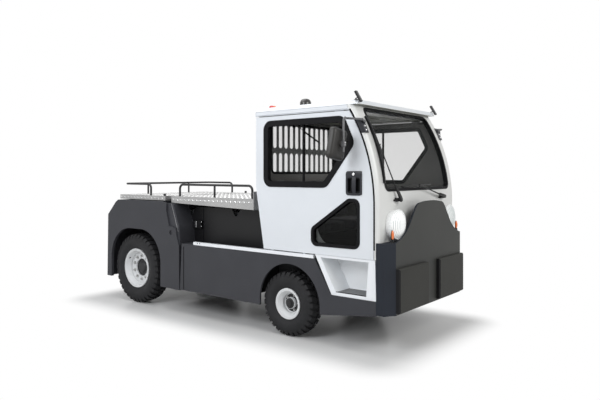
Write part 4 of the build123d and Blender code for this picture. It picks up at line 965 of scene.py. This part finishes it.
# ---------- slim lamps on the roof's front corners
lean = math.radians(31.0)
up_way = Vector((0, math.sin(lean), math.cos(lean)))
out_way = Vector((0, -math.cos(lean), math.sin(lean)))
lamp_turn = Matrix((outward, -out_way, up_way)).transposed()
slim_width, slim_depth, slim_length = 0.028, 0.020, 0.098
brow_front = station(-0.722)
for side, label in SIDES:
    edge_at = Vector((side * 0.650, brow_front, roof_top))
    lower_end = edge_at + out_way * (slim_depth / 2 + HAIR) - up_way * (0.024 / math.cos(lean))
    heart = lower_end + up_way * slim_length / 2
    body_shape = Shape()
    body_shape.box(heart + out_way * 0.001, (slim_width, slim_depth - 0.006, slim_length), lamp_turn)
    for fin in range(2, 9):
        fin_at = heart - out_way * 0.0078 + up_way * (fin - 3.2) * 0.0098
        body_shape.box(fin_at, (slim_width - 0.003, 0.0042, 0.0032), lamp_turn)
    piece(f"slim_lamp_body_{label}", body_shape, black_plastic, bevel=0.0012, stands_for="work_lights")
    face_at = placed(outward, up_way, -out_way, heart + out_way * 0.0085)
    rim = rectangle((0, 0), slim_width, slim_length, 0.004)
    window = rectangle((0, 0), slim_width - 0.007, slim_length - 0.010, 0.003)
    plate(f"slim_lamp_bezel_{label}", [rim, window], 0.003, face_at, black_plastic)
    plate(f"slim_lamp_lens_{label}", [window], 0.002, face_at, smoked, slot="lamp_glass", edge=0.0005)
    bracket = Shape()
    foot_at = edge_at + Vector((0, 0.020, HAIR))
    bracket.beam([foot_at + Vector((0, y, 0.0015)) for y in (-0.016, 0.016)], (0.019, 0.003), outward)
    hook = ((0.004, 0.002), (0.002, 0.012), (-0.013, 0.0135))
    bracket.beam([foot_at + Vector((0, y, z)) for y, z in hook], (0.016, 0.003), outward)
    bracket.bolt(foot_at + Vector((0, 0.011, 0.003)), (0, 0, 1), 0.007)
    piece(f"slim_lamp_bracket_{label}", bracket, frame_black, stands_for="work_lights")

# ---------- wipers
blade_low, blade_high = 1.305, 1.823
blade_x = -0.592
parked_x, parked_z, parked_length = -0.330, 1.275, 0.500
rubber_lift = 0.0135            # middle of the rubber from the nose's face
pivot_x, pivot_z = 0.399, 1.178
pivot_y = nose_front - 0.034
blade_steps = 24


def wiper_blade(name, line, across, arm_at):
    """A rubber lip under a jointed bar that bears on it by claws; line runs over the glass."""
    rubber = Shape()
    rubber.beam(line, (0.0045, 0.016), across)
    piece(f"{name}_rubber", rubber, seal_rubber)
    last = len(line) - 1
    normal = []
    for i in range(last + 1):
        way = (line[min(i + 1, last)] - line[max(i - 1, 0)]).cross(Vector(across)).normalized()
        normal.append(way if way.y < 0 else -way)
    reach = (last + 1) // 5
    bar = Shape()

    def arch(first, end, base, rise, size):
        """A part of the bar that bows away from the rubber between two points of the line."""
        shares = [math.sin(math.pi * (i - first) / (end - first)) for i in range(first, end + 1)]
        span = [line[first + k] + normal[first + k] * (base + rise * share) for k, share in enumerate(shares)]
        bar.beam(span, size, across)

    arch(0, 2 * reach, 0.0085, 0.006, (0.008, 0.0035))
    arch(last - 2 * reach, last, 0.0085, 0.006, (0.008, 0.0035))
    arch(reach, last - reach, 0.0165, 0.007, (0.010, 0.0045))
    bar.box(line[arm_at] + normal[arm_at] * 0.024, (0.016, 0.012, 0.022))
    piece(f"{name}_bar", bar, black_plastic)
    return line[arm_at] + normal[arm_at] * 0.027


def wiper_arm(name, pivot, end):
    """Pivot cap and box on the cowl, a head that tapers into a flat arm, and its spring."""
    ahead = (end - pivot).normalized()
    side = ahead.cross(forward).normalized()
    arm = Shape()
    arm_line = [
        pivot + forward * 0.004 - ahead * 0.018,
        pivot + forward * 0.008,
        pivot + ahead * 0.10 + forward * 0.004,
        pivot + ahead * 0.12,
        end,
    ]
    arm.beam(arm_line, [(0.022, 0.012), (0.026, 0.016), (0.020, 0.014), (0.010, 0.006), (0.008, 0.004)], side)
    cap_profile = ((0, 0.015), (0.014, 0.015), (0.020, 0.011), (0.022, 0.005))
    arm.lathe(pivot - forward * 0.006, forward, cap_profile, 20)
    coils = []
    for k in range(46):
        round_way = side * math.cos(1.5 * k) + forward * math.sin(1.5 * k)
        coils.append(pivot + ahead * (0.03 + 0.0016 * k) - forward * 0.004 + round_way * 0.004)
    arm.tube(coils, 0.0009, 5)
    piece(f"{name}_arm", arm, black_plastic, stands_for="wipers")
    gearbox = Shape()
    foot = pivot - forward * (0.034 - HAIR)
    gearbox.box(foot + Vector((0, -0.011, -0.004)), (0.064, 0.022, 0.028))
    gearbox.lathe(foot + forward * 0.020, forward, ((0, 0.013), (0.014, 0.011)), 20)
    nozzle = ((0, 0.008), (0.012, 0.007), (0.020, 0.0035), (0.024, 0.002))
    gearbox.lathe(foot + Vector((-0.042, -HAIR, -0.008)), forward, nozzle, 14)
    piece(f"{name}_box", gearbox, black_plastic, bevel=0.0015, stands_for="wipers")


shares = [k / blade_steps for k in range(blade_steps + 1)]
near_line = [on_nose(blade_x, blade_low + (blade_high - blade_low) * s, rubber_lift) for s in shares]
near_end = wiper_blade("near_wiper_blade", near_line, outward, 13)
wiper_arm("near_wiper", Vector((-pivot_x, pivot_y, pivot_z)), near_end)
parked_line = [on_nose(parked_x + parked_length * s, parked_z + 0.012 * s, rubber_lift) for s in shares]
parked_end = wiper_blade("parked_wiper_blade", parked_line, upward, 13)
wiper_arm("parked_wiper", Vector((pivot_x, pivot_y, pivot_z)), parked_end)

# ---------- mirrors
mirror_corner = high("mirrors")
head_x, head_y, head_z = mirror_corner.x - 0.090, station(-0.655), 1.600
arm_top = mirror_corner.z - 0.008
socket_x, socket_z = 0.645, 1.775
foot_low, foot_tall, foot_steps = 1.690, 0.110, 8
foot_bolt_x, foot_bolt_heights = 0.650, (1.712, 1.742)
shell_layers = (                # (behind the shell's middle, share of the outline)
    (0.026, 0.985), (0.026, 1.0), (0.010, 1.0), (-0.008, 0.985),
    (-0.020, 0.90), (-0.0255, 0.70), (-0.026, 0.30),
)
foot_section = ((0.624, HAIR), (0.6735, HAIR), (0.6735, 0.006 + HAIR), (0.624, 0.006 + HAIR))
for side, label in SIDES:
    centre = Vector((side * head_x, head_y, head_z))
    tilt = Matrix.Rotation(math.radians(5.0), 4, "X")
    roll = Matrix.Rotation(side * math.radians(-9.0), 4, "Y") @ tilt
    outline = rectangle((0, 0), 0.180, 0.236, 0.028)
    shell = Shape()
    shell_points = [Vector((u * grow, depth, v * grow)) for depth, grow in shell_layers for u, v in outline]
    shell.wrap([centre + roll @ point for point in shell_points], len(outline))
    clamp = centre + Vector((side * -0.012, -0.0262, 0.0))
    clamp_profile = ((0, 0.024), (0.004, 0.024), (0.007, 0.019), (0.007, 0.013), (0.016, 0.012))
    shell.lathe(clamp, forward, clamp_profile, 28)
    piece(f"mirror_shell_{label}", shell, mirror_black, smooth=40.0, stands_for="mirrors")
    glass_at = Matrix.Translation(centre) @ roll @ facing("Y", 0.0265)
    pane = [(u * 0.93, v * 0.945) for u, v in outline]
    plate(f"mirror_glass_{label}", [pane], 0.002, glass_at, mirror_face, edge=0.0003)

    # steel tube from the socket over to the clamp
    arm = Shape()
    hub_y = clamp.y - 0.022
    socket = Vector((side * socket_x, nose_y(socket_z, 0.014), socket_z))
    arm_line = [
        socket,
        (side * 0.690, nose_y(socket_z, 0.026), arm_top - 0.008),
        (side * 0.760, hub_y + 0.02, arm_top),
        (clamp.x - side * 0.020, hub_y, arm_top),
        (clamp.x - side * 0.006, hub_y, arm_top - 0.008),
        (clamp.x, hub_y, arm_top - 0.024),
        (clamp.x, hub_y, head_z - 0.060),
    ]
    arm.tube(arm_line, 0.0085, 14)
    arm.box((clamp.x, hub_y, head_z), (0.030, 0.026, 0.036))
    piece(f"mirror_arm_{label}", arm, arm_steel, smooth=50.0, stands_for="mirrors")

    # foot: a plate on the nose, a leg round the pillar's edge and the tube's socket
    foot = Shape()
    heights = [foot_low + foot_tall * k / foot_steps for k in range(foot_steps + 1)]
    section = [(side * x, nose_y(z, lift), z) for z in heights for x, lift in foot_section]
    foot.wrap(section, 4)
    for z in heights[:-1]:
        foot.box((side * 0.6705, nose_y(z + 0.007) + 0.016, z + 0.007), (0.0050, 0.036, 0.0142))
    foot.lathe(socket - forward * 0.010, forward, ((0, 0.017), (0.012, 0.016), (0.018, 0.011)), 20)
    piece(f"mirror_foot_{label}", foot, navy_black, bevel=0.001, stands_for="mirrors")
    bolts = Shape()
    for z in (head_z - 0.010, head_z + 0.010):
        bolts.bolt((clamp.x, hub_y - 0.013, z), forward, 0.008)
    for z in foot_bolt_heights:
        slope = (nose_y(z + 0.01) - nose_y(z - 0.01)) / 0.02
        bolts.bolt(on_nose(side * foot_bolt_x, z, 0.0064), (0, -1, slope), 0.011)
    piece(f"mirror_bolts_{label}", bolts, chrome)

# ---------- doors, steps and battery bay
door_face = high("front_cowl").x
handle_y, handle_z = station(-0.6935), 1.303
bar_y = station(-0.184)
pane_low, pane_high = 1.305, 1.793
strap_x = 0.6252
step_front, step_back = station(-0.800), station(-0.520)
step_mid, step_length = (step_front + step_back) / 2, step_back - step_front
tread_x, tread_z, tread_width = 0.570, 0.4452, 0.180
first_rib, rib_pitch, rib_count = 0.494, 0.018, 9
edge_shade_z = 0.4462
latch_x, latch_y, latch_z = 0.4766, 0.5010, 0.866
latch_screw_y, latch_screw_heights = 0.4190, (0.892, 0.848)
skirt_seam_y, skirt_seam_heights = 0.460, (0.244, 0.45, 0.662)
bay_edge_x = 0.6512
bay_edge_line = ((0.665, 1.076), (0.613, 0.940), (0.563, 0.802))
rail_screw_z, rail_screw_places = 0.7085, (0.262, 0.228)
grip_rows = (                   # (above the handle's middle, bow out of the well, width, depth)
    (0.052, 0.0, 0.030, 0.006),
    (0.042, 0.004, 0.034, 0.009),
    (0.020, 0.007, 0.036, 0.010),
    (-0.030, 0.008, 0.036, 0.010),
    (-0.062, 0.005, 0.033, 0.009),
    (-0.078, 0.0, 0.026, 0.006),
)
lock_profile = ((0, 0.011), (0.0015, 0.011), (0.0025, 0.009), (0.0025, 0.0075), (0.0012, 0.007))
pocket = (
    (-1.045, 0.985), (-1.134, 0.951), (-1.146, 0.912), (-1.164, 0.872),
    (-1.190, 0.840), (-1.233, 0.809), (-1.250, 0.745), (-1.045, 0.745),
)
for side, label in SIDES:
    door = f"door_{label}"
    beside = (side, 0, 0)

    def at(x, y, z):
        """A point on this side, x metres out from the middle."""
        return Vector((side * x, y, z))

    bar = Shape()
    for x, width in ((0.6415, 0.020), (0.653, 0.014)):
        bar.box(at(x, bar_y, (pane_low + pane_high) / 2), (0.005, width, pane_high - pane_low))
    for z in (pane_low + 0.006, pane_high - 0.006):
        bar.box(at(0.654, bar_y, z), (0.006, 0.024, 0.010))
    piece(f"window_bar_{label}", bar, seal_rubber, door, bevel=0.0015)

    # handle: bezel round a well, bowed grip and lock
    bezel_at = facing("X", side * (door_face + 0.0056))
    rim = rectangle((handle_y, handle_z), 0.146, 0.187, 0.022)
    well = rectangle((handle_y, handle_z - 0.017), 0.114, 0.122, 0.016)
    plate(f"handle_bezel_{label}", [rim, well], 0.0046, bezel_at, navy_black, door, edge=0.0014)
    grip = Shape()
    grip_line = [
        at(door_face + 0.0035 + bow, handle_y - 0.004, handle_z + rise) for rise, bow, *_ in grip_rows
    ]
    grip.beam(grip_line, [(width, depth) for *_, width, depth in grip_rows], (0, 1, 0))
    piece(f"handle_grip_{label}", grip, navy_black, door, bevel=0.003)
    lock = Shape()
    lock_at = at(door_face + 0.0079, handle_y + 0.002, handle_z + 0.070)
    lock.lathe(lock_at, beside, lock_profile, 28)
    lock.box(lock_at + Vector(beside) * 0.0018, (0.0008, 0.002, 0.009))
    piece(f"handle_lock_{label}", lock, chrome, door)

    # dark seal in the seam ahead of the door, lying on the cowl's side
    seam = Shape()
    seam_heights = [0.80 + 0.045 * k for k in range(25)]
    seam_line = [at(door_face + 0.0016, nose_y(z) + 0.0395, z) for z in seam_heights]
    seam.beam(seam_line, (0.0026, 0.0125), outward)
    piece(f"door_seal_{label}", seam, seal_rubber)

    # inside of the door: pale pocket at the lower pane, and a strap pull thin enough to pass the rear wall
    pocket_at = facing("X", side * 0.6255)
    plate(f"door_pocket_{label}", [pocket], 0.004, pocket_at, pocket_pale, door)
    pull = Shape()
    pull_ends = (at(strap_x, -1.42, 1.20), at(strap_x, -1.23, 1.24))
    pull.beam(pull_ends, (0.0036, 0.024), outward)
    for end_at, other_end in (pull_ends, pull_ends[::-1]):
        screw_at = end_at + (other_end - end_at).normalized() * 0.014 - Vector(beside) * 0.0018
        pull.lathe(screw_at, (-side, 0, 0), ((0, 0.0065), (0.0006, 0.0060), (0.0009, 0.0040)), 16)
    piece(f"door_pull_{label}", pull, black_plastic, door)

    # tread in the step's recess, and a near-black strip along its outer edge: painted shade for the shadow line
    # there
    tread = Shape()
    tread.box(at(tread_x, step_mid, tread_z), (tread_width, step_length - 0.012, 0.0040))
    for rib in range(rib_count):
        rib_at = at(first_rib + rib_pitch * rib, step_mid, tread_z + 0.0030)
        tread.box(rib_at, (0.006, step_length - 0.030, 0.0030))
    piece(f"step_tread_{label}", tread, mid_grey, bevel=0.0006)
    edge_shade = Shape()
    edge_shade.box(at(0.6625, step_mid, edge_shade_z), (0.0040, step_length, 0.0060))
    edge_shade.box(at(0.6600, step_mid, edge_shade_z - 0.0020), (0.0090, step_length, 0.0020))
    piece(f"step_edge_shade_{label}", edge_shade, seal_rubber, bevel=0.0005)

    # battery bay: latch plate with two screws, seam strip on the skirt, bare edge and rail screws
    catch = Shape()
    catch.box(at(latch_x, latch_y, latch_z), (0.0030, 0.022, 0.066))
    catch.box(at(latch_x + 0.0014, latch_y - 0.0075, latch_z), (0.0050, 0.005, 0.058))
    screw_head = ((0, 0.0060), (0.002, 0.0056), (0.003, 0.0030))
    for z in latch_screw_heights:
        catch.lathe(at(latch_x - 0.0013, latch_screw_y, z), beside, screw_head, 16)
    piece(f"bay_latch_{label}", catch, chrome, bevel=0.0006)
    strip = Shape()
    strip_line = [at(door_face + 0.0012, skirt_seam_y, z) for z in skirt_seam_heights]
    strip.beam(strip_line, (0.0018, 0.0085), outward)
    piece(f"skirt_seal_{label}", strip, seal_rubber)
    bare = Shape()
    bare.beam([at(bay_edge_x, y, z) for y, z in bay_edge_line], (0.0020, 0.0032), outward)
    piece(f"bay_edge_{label}", bare, edge_steel)
    screws = Shape()
    screw_head = ((0, 0.0052), (0.0012, 0.0048), (0.0006, 0.0030))
    for y in rail_screw_places:
        screws.lathe(at(door_face + 0.0002, y, rail_screw_z), beside, screw_head, 16)
    piece(f"rail_screws_{label}", screws, frame_black, slot="pin_steel")

# ---------- folds along the roof as grey strips of painted shade, and its lining
roof_high = high("roof")
folds = ((1.912, 0.0030), (1.8795, 0.0040))         # (height, breadth)
lining_half_width, lining_z = 0.585, 1.8705
console_y = -1.20
for side, label in SIDES:
    fold = Shape()
    fold_x = side * (roof_high.x + 0.0006)
    for z, breadth in folds:
        ends = [(fold_x, y, z) for y in (roof_low.y + 0.085, roof_high.y - 0.004)]
        fold.beam(ends, (breadth, 0.0022), upward)
    piece(f"roof_fold_{label}", fold, fold_painted_shade)
lining = Shape()
for y in (-1.33, -1.02, -0.78):
    ends = [(x, y, lining_z) for x in (-lining_half_width, lining_half_width)]
    lining.beam(ends, (0.004, 0.020), upward)
lining.box((0.0, console_y, lining_z - 0.0045), (0.26, 0.15, 0.012))
lining.box((0.0, console_y, lining_z - 0.0125), (0.20, 0.09, 0.006))
piece("roof_lining_bars", lining, lining_olive, bevel=0.002)

# ---------- rear wiper and window catch
rear_wiper = Shape()
arm_y = -0.522
pivot = Vector((-0.127, arm_y, 1.832))
far_end = Vector((0.228, arm_y, 1.693))
along = (far_end - pivot).normalized()
blade_drop = Vector((0, 0.006, -0.004))
rear_wiper.tube([pivot, pivot.lerp(far_end, 0.5), far_end], 0.004, 8)
rear_wiper.lathe(pivot - forward * 0.012, forward, ((0, 0.013), (0.016, 0.012), (0.020, 0.008)), 20)
rear_wiper.box(pivot + Vector((0.0, -0.026, 0.010)), (0.070, 0.026, 0.046))
rear_wiper.beam([far_end + along * a + blade_drop for a in (-0.24, 0.03)], (0.010, 0.008), (0, 1, 0))
piece("rear_wiper", rear_wiper, black_plastic, bevel=0.001)
catch = Shape()
catch_at = Vector((-0.47, -0.6135, 1.285))
catch.box(catch_at, (0.090, 0.008, 0.060))
catch.lathe(catch_at + forward * 0.0065, forward, ((0, 0.018), (0.008, 0.018), (0.010, 0.012)), 24)
piece("rear_window_catch", catch, mid_grey, slot="black_plastic", bevel=0.003)

# ---------- seats
seat_low, seat_high = low("seat_pads"), high("seat_pads")
seat_width = 0.460
seat_x = seat_high.x - seat_width / 2
cushion_bottom, cushion_top = 0.864, 0.950
cushion_back = station(0.150)
back_low_z = cushion_top + 0.005
back_lean = 0.064
swell = 0.006                   # furthest that a point moves when the pads are blown up
channel = 0.088                 # pitch of the sewn channels
channel_depth, channel_spread = 0.005, 0.007
sewn_half_width = 0.180
cloth_frames = 20
cushion_line = (
    (seat_low.y, cushion_bottom),
    (seat_low.y, cushion_top),
    (cushion_back, cushion_top),
    (cushion_back, cushion_bottom),
)
back_line = (
    (seat_high.y - back_lean - 0.080, back_low_z),
    (seat_high.y - back_lean, back_low_z),
    (seat_high.y, seat_high.z - 0.060),
    (seat_high.y, seat_high.z),
    (seat_high.y - 0.060, seat_high.z),
)


def shrunk(points, by):
    """An outline whose corners move in towards its middle by a distance."""
    centre = Vector([sum(values) / len(points) for values in zip(*points)])
    return [Vector(point) - (Vector(point) - centre).normalized() * by for point in points]


def apply_modifiers(thing):
    """Turns an object's modifiers into its own mesh."""
    bpy.context.view_layer.update()
    evaluated = thing.evaluated_get(bpy.context.evaluated_depsgraph_get())
    mesh = bpy.data.meshes.new_from_object(evaluated)
    thing.modifiers.clear()
    thing.data = mesh


def pad_form(name, outline, x):
    """A seat pad before it swells: the side outline swept across and remeshed."""
    half = seat_width / 2 - swell
    line = rounded(shrunk(outline, swell * 1.3), 0.020, 4)
    shape = Shape()
    shape.wrap([(x + side * half, y, z) for side in (-1, 1) for y, z in line], len(line))
    thing = piece(name, shape, seat_cloth, smooth=0)
    remesh = thing.modifiers.new("remesh", "REMESH")
    remesh.mode = "VOXEL"
    remesh.voxel_size = 0.009
    apply_modifiers(thing)
    return thing


def swell_pads(pads):
    """Blows the pads up together by cloth pressure; no point moves further than the swell."""
    starts = {}
    for thing in pads:
        starts[thing.name] = [v.co.copy() for v in thing.data.vertices]
        cloth = thing.modifiers.new("cloth", "CLOTH")
        cloth.settings.quality = 3
        cloth.settings.use_pressure = True
        cloth.settings.uniform_pressure_force = 4.0
        cloth.settings.effector_weights.gravity = 0.0
        cloth.collision_settings.use_collision = False
    for step in range(1, cloth_frames + 1):
        bpy.context.scene.frame_set(step)
    for thing in pads:
        apply_modifiers(thing)
        for vertex, rest in zip(thing.data.vertices, starts[thing.name]):
            moved = vertex.co - rest
            if moved.length > swell:
                vertex.co = rest + moved.normalized() * swell
    bpy.context.scene.frame_set(1)


def stitch(thing, x):
    """Presses upright channels into a pad's face, smooths the pad and hides the CAD's seat pads."""
    for vertex in thing.data.vertices:
        across = (vertex.co.x - x) / channel
        dip = channel_depth * math.exp(-((across - round(across)) * channel / channel_spread) ** 2)
        if abs(vertex.co.x - x) < sewn_half_width:
            vertex.co.z -= dip if vertex.normal.z > 0.5 else 0.0
            vertex.co.y += dip if vertex.normal.y < -0.6 else 0.0
    thing.modifiers.new("smooth", "SUBSURF").levels = 1
    apply_modifiers(thing)
    for polygon in thing.data.polygons:
        polygon.use_smooth = True
    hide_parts("seat_pads")


pads = []
for x, label in ((-seat_x, "right"), (seat_x, "left")):
    pads.append((pad_form(f"seat_cushion_{label}", cushion_line, x), x))
    pads.append((pad_form(f"seat_back_{label}", back_line, x), x))
swell_pads([thing for thing, x in pads])
for thing, x in pads:
    stitch(thing, x)

# ---------- stage, light and camera
floor_shape = bpy.data.meshes.new("floor")
reach = 60.0
corners = [(-reach, -reach, 0), (reach, -reach, 0), (reach, reach, 0), (-reach, reach, 0)]
floor_shape.from_pydata(corners, [], [(0, 1, 2, 3)])
floor = bpy.data.objects.new("floor", floor_shape)
bpy.context.scene.collection.objects.link(floor)


def seen(tree):
    """1 for the camera's rays and those that glossy and clear surfaces send on."""
    path = tree.nodes.new("ShaderNodeLightPath").outputs
    sent_on = maths(tree, "MAXIMUM", path["Is Glossy Ray"], path["Is Transmission Ray"])
    return maths(tree, "MAXIMUM", path["Is Camera Ray"], sent_on)


def vectors(tree, operation, *values):
    """One step of arithmetic on vectors."""
    return add(tree, "VectorMath", dict(enumerate(values)), operation=operation)


# the floor keeps the tug's shadow on a rectangle and turns to plain white round it
kept_floor = (0.75, 1.75, 0.0)   # the rectangle's half width and half length
fade_start, fade_end = 0.02, 0.42
floor_material, tree, bsdf = new_material("studio_floor")
feed(tree, bsdf, {"Base Color": (0.74, 0.74, 0.74, 1), "Roughness": 0.30, "Specular IOR Level": 0.08})
size = vectors(tree, "ABSOLUTE", own_place(tree))["Vector"]
past = vectors(tree, "SUBTRACT", size, kept_floor)["Vector"]
beyond = vectors(tree, "MAXIMUM", past)["Vector"]
distance = vectors(tree, "LENGTH", beyond)["Value"]
fade_inputs = {"Value": distance, "From Min": fade_start, "From Max": fade_end}
fade = add(tree, "MapRange", fade_inputs, interpolation_type="SMOOTHSTEP")["Result"]
white_glow = add(tree, "Emission", {"Color": (1, 1, 1, 1), "Strength": 1.0})["Emission"]
share = maths(tree, "MULTIPLY", fade, seen(tree))
mixed = add(tree, "MixShader", {"Fac": share, 1: bsdf.outputs["BSDF"], 2: white_glow})["Shader"]
feed(tree, tree.nodes["Material Output"], {"Surface": mixed})
floor_shape.materials.append(floor_material)

# the world lights softly, and looks white to every ray that reaches the picture
world = bpy.data.worlds.new("studio")
bpy.context.scene.world = world
world.use_nodes = True
tree = world.node_tree
sky = tree.nodes["Background"]
feed(tree, sky, {"Color": (1, 1, 1, 1), "Strength": 0.30})
backdrop = add(tree, "Background", {"Color": (1, 1, 1, 1), "Strength": 1.0})["Background"]
choice = add(tree, "MixShader", {"Fac": seen(tree), 1: sky.outputs["Background"], 2: backdrop})["Shader"]
feed(tree, tree.nodes["World Output"], {"Surface": choice})


def soft_light(name, place, aim, size, power, colour=(1, 1, 1)):
    lamp = bpy.data.lights.new(name, "AREA")
    lamp.shape = "RECTANGLE"
    lamp.size, lamp.size_y = size
    lamp.energy = power
    lamp.color = colour
    thing = bpy.data.objects.new(name, lamp)
    thing.location = place
    thing.rotation_euler = (Vector(aim) - Vector(place)).to_track_quat("-Z", "Y").to_euler()
    bpy.context.scene.collection.objects.link(thing)


soft_light("overhead", (-0.8, 0.6, 4.6), (0, 0, 0.6), (3.0, 3.0), 60)
soft_light("side_window", (-5.4, -0.2, 3.8), (0, -0.4, 0.9), (3.2, 2.6), 172, (0.96, 0.98, 1.0))
soft_light("front_window", (-1.0, -5.6, 3.4), (0, -1.0, 0.9), (3.0, 2.4), 120, (1.0, 1.0, 0.98))

camera_data = bpy.data.cameras.new("camera")
camera_data.sensor_width = 36.0
camera_data.lens = 35.19
camera_data.shift_x = 0.002
camera_data.shift_y = -0.0454
camera = bpy.data.objects.new("camera", camera_data)
camera.location = (-4.4654, -3.9932, 1.381)
heading = math.radians(38.44)
camera.rotation_euler = (math.radians(90.04), 0, heading - math.pi / 2)
bpy.context.scene.collection.objects.link(camera)
bpy.context.scene.camera = camera
bpy.context.scene.view_settings.view_transform = "Standard"
